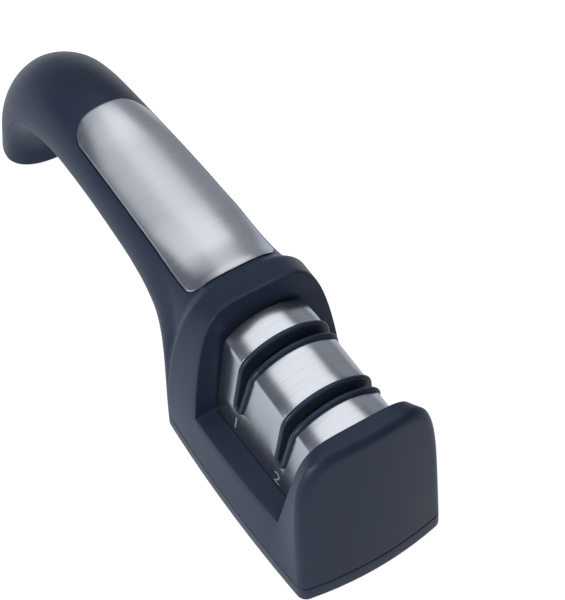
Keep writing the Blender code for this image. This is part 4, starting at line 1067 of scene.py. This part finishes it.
class SharpenerSizes(bpy.types.PropertyGroup):
    """Sizes of the details that the solids leave plain."""
    rim_radius: length_setting("Rim radius", 0.45, "Rounding of the hood's and front wall's rims")
    foot_radius: length_setting("Foot radius", 1.0, "Hollow rounding between walls and ledges")
    ledge_radius: length_setting("Ledge radius", 0.7, "Rounding of the ledges' outer edges")
    tray_radius: length_setting("Tray radius", 0.8, "Rounding of the base tray's lower edge")
    crease_radius: length_setting("Crease radius", 4.5, "Bend radius of the steel cover's creases")
    lip_width: length_setting("Lip width", 1.9, "Width of the lip round each slot")
    lip_rise: length_setting("Lip rise", 1.05, "How far a slot's lip stands over the steel")
    lip_depth: length_setting("Lip depth", 5.0, "How deep a slot's inner wall reaches")
    inlay_bevel: length_setting("Inlay bevel", 0.95, "Width of the bright bevel round the inlay")
    slot_bevel: length_setting("Slot bevel", 0.25, "Width of the bright edge round the slots")
    figure_height: length_setting("Figure height", 5.0, "Height of the figures beside the slots")
    bevel_segments: IntProperty(
        name="Bevel segments", description="Segments of each bright bevel", default=3, min=1, max=6)


class SharpenerColours(bpy.types.PropertyGroup):
    """Tones of the housing's coat and of the brushed steel."""
    coat_dark: tone_setting("Coat, dark", "#1E2535", "Darker tone of the soft-touch coat")
    coat_light: tone_setting("Coat, light", "#242C3C", "Lighter tone of the soft-touch coat")
    steel_dark: tone_setting("Steel, dark", "#B4B6BB", "Darker tone of the steel's lines")
    steel_light: tone_setting("Steel, light", "#C2C4C8", "Lighter tone of the steel's lines")


class SharpenerPiece:
    """What all operators of the sharpener share."""
    bl_options = {"REGISTER", "UNDO"}

    def execute(self, context):
        self.build(context.scene.sharpener_sizes)
        return {"FINISHED"}


class SHARPENER_OT_housing(SharpenerPiece, bpy.types.Operator):
    """Front wall, ledges, hood and the crown of the handle in one moulding"""
    bl_idname = "sharpener.housing"
    bl_label = "Housing"

    def build(self, sizes):
        rows = handle_rows()
        rings = block_rings(sizes)
        ridge = rib_ring(rows[0])
        rings += [mix_rings(rings[-1], ridge, step / BAND_STEPS) for step in range(1, BAND_STEPS)]
        shell = make_piece("housing_shell", loft(rings + [crown_ring(row) for row in rows]))
        recess = crown_layer(rows, PART_GAP, CUT_OVERRUN, -INLAY_THICKNESS)
        well = []
        for height in (LEDGE_HEIGHT - LEDGE_THICKNESS - PART_GAP, LEDGE_HEIGHT + CUT_OVERRUN):
            well.append([
                place(distance, sign * (module_half_width(distance, height) + SEAM_GAP), height)
                for distance, sign in (
                    (MODULE_FRONT - SEAM_GAP, 1), (MODULE_REAR + SEAM_GAP, 1),
                    (MODULE_REAR + SEAM_GAP, -1), (MODULE_FRONT - SEAM_GAP, -1))
            ])
        cavity = loft([
            plan_outline(height, BLOCK_WALL)
            for height in (SEAM_HEIGHT - CUT_OVERRUN, LEDGE_HEIGHT - LEDGE_THICKNESS)])
        carve(shell, *(("DIFFERENCE", tool) for tool in (recess, loft(well), cavity)))
        finish_with(shell, "soft_touch_abs")
        settle(shell, "soft_touch_plastic", "body_shell")


class SHARPENER_OT_underside(SharpenerPiece, bpy.types.Operator):
    """Lower half of the handle, from the block's rear to the foot"""
    bl_idname = "sharpener.underside"
    bl_label = "Handle underside"

    def build(self, sizes):
        rows = handle_rows()
        cover = make_piece(
            "handle_underside", loft([rib_ring(row, belly=True, gap=SEAM_GAP) for row in rows]))
        ends = []
        for row in (rows[0], rows[-1]):
            lower = row.copy()
            lower[[1, 3, 5]] -= CUT_OVERRUN
            ends.append(lower)
        core = make_piece("core", loft([
            rib_ring(row, belly=True, offset=-SHELL_WALL, skirt=CUT_OVERRUN)
            for row in (ends[0], *rows[::RIB_STEPS // 2], ends[1])]))
        posts, wells = [], []
        for share in COVER_SCREW_SHARES:
            wanted = RIDGE_PLACE + share * HANDLE_REACH
            rib = min(rows, key=lambda row: abs(row[0] - wanted))
            foot = place(rib[0], 0.0, rib[5] - CUT_OVERRUN)
            post_height = rib[1] - PART_GAP - foot.z
            well_height = rib[1] - COVER_WELL_FLOOR - foot.z
            posts.append(("DIFFERENCE", rod(foot, (
                (0.0, COVER_BOSS_RADIUS), (post_height, COVER_BOSS_RADIUS)))))
            wells.append(("DIFFERENCE", rod(foot, (
                (0.0, HEAD_BORE), (well_height, HEAD_BORE), (well_height, SHANK_BORE),
                (rib[1] + CUT_OVERRUN - foot.z, SHANK_BORE)))))
        carve(core, *posts)
        carve(cover, ("DIFFERENCE", core), *wells)
        finish_with(cover, "soft_touch_abs")
        settle(cover, "soft_touch_plastic", "handle_underside_cover")


class SHARPENER_OT_base(SharpenerPiece, bpy.types.Operator):
    """Tray under the block, whose rim shows below the seam"""
    bl_idname = "sharpener.base"
    bl_label = "Base tray"

    def build(self, sizes):
        radius = sizes.tray_radius
        profile = [(PAD_CEILING, PAD_MARGIN), (BASE_UNDERSIDE, PAD_MARGIN)]
        for angle in quarter_turn(FILLET_STEPS):
            rise, inset = radius * (1 - math.cos(angle)), radius * (1 - math.sin(angle))
            profile.append((BASE_UNDERSIDE + rise, inset))
        profile += [
            (BASE_TOP - TRAY_TOP_EDGE, 0.0), (BASE_TOP, TRAY_TOP_EDGE),
            (BASE_TOP, BASE_WALL), (BASE_FLOOR_TOP, BASE_WALL),
        ]
        tray = make_piece("base_tray", loft([plan_outline(*spot) for spot in profile]))
        finish_with(tray, "soft_touch_abs")
        settle(tray, "soft_touch_plastic", "base_plate")


class SHARPENER_OT_inlay(SharpenerPiece, bpy.types.Operator):
    """Brushed steel inlay on the handle, with a ground bevel whose paler tone is partly a painted
    highlight
    """
    bl_idname = "sharpener.inlay"
    bl_label = "Steel inlay"

    def build(self, sizes):
        plate = crown_layer(handle_rows(), 0.0, INLAY_PROUD, INLAY_PROUD - INLAY_THICKNESS)
        plate.name = plate.data.name = "steel_inlay"
        finish_with(plate, "satin_stainless", "ground_and_painted_highlight_stainless")
        # The bevel takes the paler ground steel, which is partly a painted highlight
        bevel_with_painted_highlight(plate, sizes.inlay_bevel, sizes.bevel_segments)
        settle(plate, "brushed_steel", "handle_plate")


class SHARPENER_OT_cover(SharpenerPiece, bpy.types.Operator):
    """Folded steel cover with its two slots, and the figures etched on it"""
    bl_idname = "sharpener.cover"
    bl_label = "Steel cover"

    def build(self, sizes):
        radius = sizes.crease_radius
        # The ends lean with the two walls, so that no gap shows between them
        cover = make_piece("steel_cover", arched_solid(
            lambda height: front_wall_back(height) + COVER_END_GAP,
            lambda height: mix(MODULE_REAR, hood_front(height) - COVER_END_GAP, 0.5),
            0.0, MODULE_BOTTOM, radius))
        inside = arched_solid(
            MODULE_FRONT - 2 * CUT_OVERRUN, MODULE_REAR + 2 * CUT_OVERRUN, -STEEL_THICKNESS,
            MODULE_BOTTOM - CUT_OVERRUN, radius)
        tools = [inside] + [slot_prism(slot, 0.0) for slot in SLOTS]
        carve(cover, *(("DIFFERENCE", tool) for tool in tools))
        finish_with(cover, "brushed_stainless", "ground_and_painted_highlight_stainless")
        # The bevels round the slots take the paler ground steel, which is partly a painted
        # highlight
        bevel_with_painted_highlight(cover, sizes.slot_bevel, sizes.bevel_segments)
        settle(cover, "brushed_steel", "module_cover")
        for figure, distance, height in FIGURES:
            self.etch(figure, distance, height, sizes.figure_height)

    def etch(self, figure, distance, height, size):
        """Lay one figure on the steel's near side, a hair over it."""
        name = "figure_" + figure
        curve = bpy.data.curves.new(name, "FONT")
        curve.body = figure
        curve.size = size / FIGURE_CAP_SHARE
        curve.align_x = "CENTER"
        curve.align_y = "CENTER"
        curve.offset = -FIGURE_THINNING_SHARE * size
        curve.extrude = ETCH_THICKNESS
        drawn = bpy.data.objects.new(name, curve)
        bpy.context.scene.collection.objects.link(drawn)
        bpy.context.view_layer.update()
        graph = bpy.context.evaluated_depsgraph_get()
        mesh = bpy.data.meshes.new_from_object(drawn.evaluated_get(graph))
        bpy.data.objects.remove(drawn, do_unlink=True)

        def near_side(spot, level):
            return place(spot, -module_half_width(spot, level), level)

        upward = near_side(distance, CREASE_HEIGHT) - near_side(distance, MODULE_BOTTOM)
        onward = near_side(distance - MM, height) - near_side(distance + MM, height)
        upward.normalize()
        onward.normalize()
        outward = onward.cross(upward).normalized()
        turn = Matrix((onward, upward, outward)).transposed().to_4x4()
        spot = near_side(distance, height) + outward * ETCH_LIFT
        mesh.transform(Matrix.Translation(spot) @ turn)
        mesh.materials.clear()
        mark = bpy.data.objects.new(name, mesh)
        bpy.context.scene.collection.objects.link(mark)
        finish_with(mark, "etched_stainless")
        settle(mark, "brushed_steel")


class SHARPENER_OT_moulding(SharpenerPiece, bpy.types.Operator):
    """Black moulding under the steel, and its rounded lips in the two slots"""
    bl_idname = "sharpener.moulding"
    bl_label = "Module moulding"

    def build(self, sizes):
        radius = sizes.crease_radius
        skin = STEEL_THICKNESS + PART_GAP
        moulding = make_piece("module_moulding", arched_solid(
            MODULE_FRONT, MODULE_REAR, -skin, FLANGE_TOP - MM, radius))
        half_width = module_half_width(MODULE_MIDDLE, FLANGE_TOP) + FLANGE_RIM
        flange = box(FLANGE_FRONT, FLANGE_REAR, half_width, FLANGE_UNDERSIDE, FLANGE_TOP)
        tools = [notch_prism()]
        for front, rear in (
            (MODULE_FRONT + MODULE_END_WALL, MODULE_MIDDLE - MODULE_MIDDLE_WALL / 2),
            (MODULE_MIDDLE + MODULE_MIDDLE_WALL / 2, MODULE_REAR - MODULE_END_WALL),
        ):
            tools.append(arched_solid(
                front, rear, -skin - MODULE_WALL, FLANGE_UNDERSIDE - CUT_OVERRUN, radius))
        room = PART_GAP / 2 + sizes.lip_width * LIP_ROOM_SHARE
        tools += [slot_prism(slot, room) for slot in SLOTS]
        carve(moulding, ("UNION", flange), *(("DIFFERENCE", tool) for tool in tools))
        finish_with(moulding, "moulded_polypropylene")
        settle(moulding, "black_plastic", "module_body")
        for slot in SLOTS:
            lip = make_piece("slot_lip_" + slot[0], slot_lip(slot, sizes))
            finish_with(lip, "moulded_polypropylene")
            settle(lip, "black_plastic")


class SHARPENER_OT_inner(SharpenerPiece, bpy.types.Operator):
    """Finishes of the solids that show as they are"""
    bl_idname = "sharpener.inner"
    bl_label = "Inner parts and pads"

    FINISHES = {
        "axle_keeper": "moulded_polypropylene", "spacer": "moulded_polypropylene",
        "wheel_axle": "ground_steel", "coarse_wheel": "diamond_grit",
        "fine_wheel": "sintered_ceramic", "base_pad": "moulded_rubber",
        "foot_pad": "moulded_rubber", "base_screw": "zinc_plate",
        "module_screw": "zinc_plate", "cover_screw": "zinc_plate",
    }

    def build(self, sizes):
        for name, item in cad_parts.items():
            if item.hide_render:
                continue
            finishes = [self.FINISHES[start] for start in self.FINISHES if name.startswith(start)]
            if not finishes:
                raise RuntimeError("no finish for the solid " + name)
            item.data.materials.clear()
            finish_with(item, finishes[0])


class SHARPENER_OT_studio(bpy.types.Operator):
    """Pale floor, soft lamps and the camera at the photograph's angle"""
    bl_idname = "sharpener.studio"
    bl_label = "Studio"

    CAMERA_PLACE = Vector((306.4, -156.0, 470.0)) * MM
    CAMERA_BACK = Vector((0.5043, -0.3184, 0.8027))
    CAMERA_LENS = 102.0
    CAMERA_SENSOR = 36.0
    FLOOR_SIZE = 6.0
    # A hair under the pads, so that floor and pads don't share a plane
    FLOOR_HEIGHT = -0.05 * MM
    # How white the floor is by itself to the eye, near the object and far from it, and to metal
    FLOOR_NEAR, FLOOR_NEAR_WHITE = 0.4, 0.85
    FLOOR_FAR, FLOOR_FAR_WHITE = 1.2, 1.0
    FLOOR_METAL_WHITE = 0.56
    ROOM_STRENGTH = 0.24
    # Name, place, aim, size and power in watts of each lamp
    LAMPS = (
        ("overhead_lamp", (-0.225, 0.05, 1.10), (-0.225, 0.05, 0.0), (1.15, 1.85), 9.2),
        ("rear_lamp", (-1.075, 0.54, 1.10), (-1.075, 0.54, 0.0), (0.55, 0.875), 2.3),
        ("rear_side_lamp", (-1.075, -0.385, 1.10), (-1.075, -0.385, 0.0), (0.55, 0.975), 1.3),
        ("side_lamp", (0.35, -1.1, 0.45), (0.0, 0.0, 0.03), (0.8, 0.5), 12.0),
        ("far_lamp", (-0.80, 1.3, 0.55), (0.0, 0.0, 0.03), (1.4, 0.8), 0.9),
        ("front_lamp", (1.20, 0.20, 0.75), (0.0, 0.0, 0.03), (0.9, 0.2), 0.45),
    )

    def execute(self, context):
        scene = context.scene
        sheet = bmesh.new()
        bmesh.ops.create_grid(
            sheet, x_segments=1, y_segments=1, size=self.FLOOR_SIZE / 2,
            matrix=Matrix.Translation(UP * self.FLOOR_HEIGHT))
        floor = make_piece("floor", sheet)
        floor.data.materials.append(self.floor_finish())
        camera = bpy.data.cameras.new("photo_camera")
        camera.sensor_width = self.CAMERA_SENSOR
        camera.lens = self.CAMERA_LENS
        scene.camera = self.aimed(scene, camera, self.CAMERA_PLACE, -self.CAMERA_BACK)
        for name, spot, aim, (width, depth), power in self.LAMPS:
            lamp = bpy.data.lights.new(name, "AREA")
            lamp.shape = "RECTANGLE"
            lamp.size, lamp.size_y = width, depth
            lamp.energy = power
            self.aimed(scene, lamp, Vector(spot), Vector(aim) - Vector(spot))
        self.build_world(scene)
        scene.view_settings.view_transform = "Standard"
        return {"FINISHED"}

    def aimed(self, scene, data, spot, direction):
        """Camera or lamp at a spot, turned to look along a direction."""
        item = bpy.data.objects.new(data.name, data)
        item.location = spot
        item.rotation_mode = "QUATERNION"
        item.rotation_quaternion = direction.to_track_quat("-Z", "Y")
        scene.collection.objects.link(item)
        return item

    def floor_finish(self):
        """Matt white paper that keeps a soft shadow and is white to eye and metal."""
        material, tree, shader, coordinates = start_finish(
            "white_paper", Roughness=0.9, Base_Color=to_linear("#A4A4A4"), Specular_IOR_Level=0.0)
        path = add_node(tree, "ShaderNodeLightPath")
        mirrored = add_node(
            tree, "ShaderNodeMath", {"operation": "MULTIPLY", 1: self.FLOOR_METAL_WHITE},
            {0: path.outputs["Is Glossy Ray"]})
        # Near the object a shadow still shows, and past the lamps the paper stays white
        reach = add_node(
            tree, "ShaderNodeVectorMath", {"operation": "LENGTH"}, {0: coordinates})
        seen = add_node(
            tree, "ShaderNodeMapRange", {
                "From Min": self.FLOOR_NEAR, "From Max": self.FLOOR_FAR,
                "To Min": self.FLOOR_NEAR_WHITE, "To Max": self.FLOOR_FAR_WHITE},
            {"Value": reach.outputs["Value"]})
        amount = add_node(
            tree, "ShaderNodeMath", {"operation": "MULTIPLY_ADD"}, {
                0: path.outputs["Is Camera Ray"], 1: seen.outputs["Result"],
                2: mirrored.outputs[0]})
        # Cool to a mirror, plain white to the eye
        glow = add_node(
            tree, "ShaderNodeMix",
            {"data_type": "RGBA", 6: to_linear("#E8F1FF"), 7: to_linear("#FFFFFF")},
            {0: path.outputs["Is Camera Ray"]})
        tree.links.new(glow.outputs[2], shader.inputs["Emission Color"])
        tree.links.new(amount.outputs[0], shader.inputs["Emission Strength"])
        return material

    def build_world(self, scene):
        """Even pale room, white where the eye looks past the floor."""
        world = bpy.data.worlds.new("pale_room")
        scene.world = world
        world.use_nodes = True
        tree = world.node_tree
        tree.nodes.clear()
        path = add_node(tree, "ShaderNodeLightPath")
        room = add_node(
            tree, "ShaderNodeBackground",
            {"Color": to_linear("#B9C6DE"), "Strength": self.ROOM_STRENGTH})
        white = add_node(
            tree, "ShaderNodeBackground", {"Color": to_linear("#FFFFFF"), "Strength": 1.0})
        mixed = add_node(tree, "ShaderNodeMixShader", links={
            0: path.outputs["Is Camera Ray"], 1: room.outputs[0], 2: white.outputs[0]})
        add_node(tree, "ShaderNodeOutputWorld", links={"Surface": mixed.outputs[0]})


OPERATORS = (
    SHARPENER_OT_housing, SHARPENER_OT_underside, SHARPENER_OT_base, SHARPENER_OT_inlay,
    SHARPENER_OT_cover, SHARPENER_OT_moulding, SHARPENER_OT_inner, SHARPENER_OT_studio,
)


class SHARPENER_PT_panel(bpy.types.Panel):
    """Lists the sharpener's pieces with their sizes and colours"""
    bl_idname = "SHARPENER_PT_panel"
    bl_label = "Knife sharpener"
    bl_space_type = "VIEW_3D"
    bl_region_type = "UI"
    bl_category = "Sharpener"

    def draw(self, context):
        for operator in OPERATORS:
            self.layout.operator(operator.bl_idname)
        for group in (context.scene.sharpener_sizes, context.scene.sharpener_colours):
            column = self.layout.column(align=True)
            for name in group.__annotations__:
                column.prop(group, name)


CLASSES = (SharpenerSizes, SharpenerColours, *OPERATORS, SHARPENER_PT_panel)


def register():
    for item in CLASSES:
        bpy.utils.register_class(item)
    bpy.types.Scene.sharpener_sizes = PointerProperty(type=SharpenerSizes)
    bpy.types.Scene.sharpener_colours = PointerProperty(type=SharpenerColours)


def unregister():
    del bpy.types.Scene.sharpener_colours
    del bpy.types.Scene.sharpener_sizes
    for item in reversed(CLASSES):
        bpy.utils.unregister_class(item)


def main():
    """Make every piece and the studio."""
    register()
    for operator in OPERATORS:
        group, name = operator.bl_idname.split(".")
        getattr(getattr(bpy.ops, group), name)()


if __name__ == "__main__":
    main()
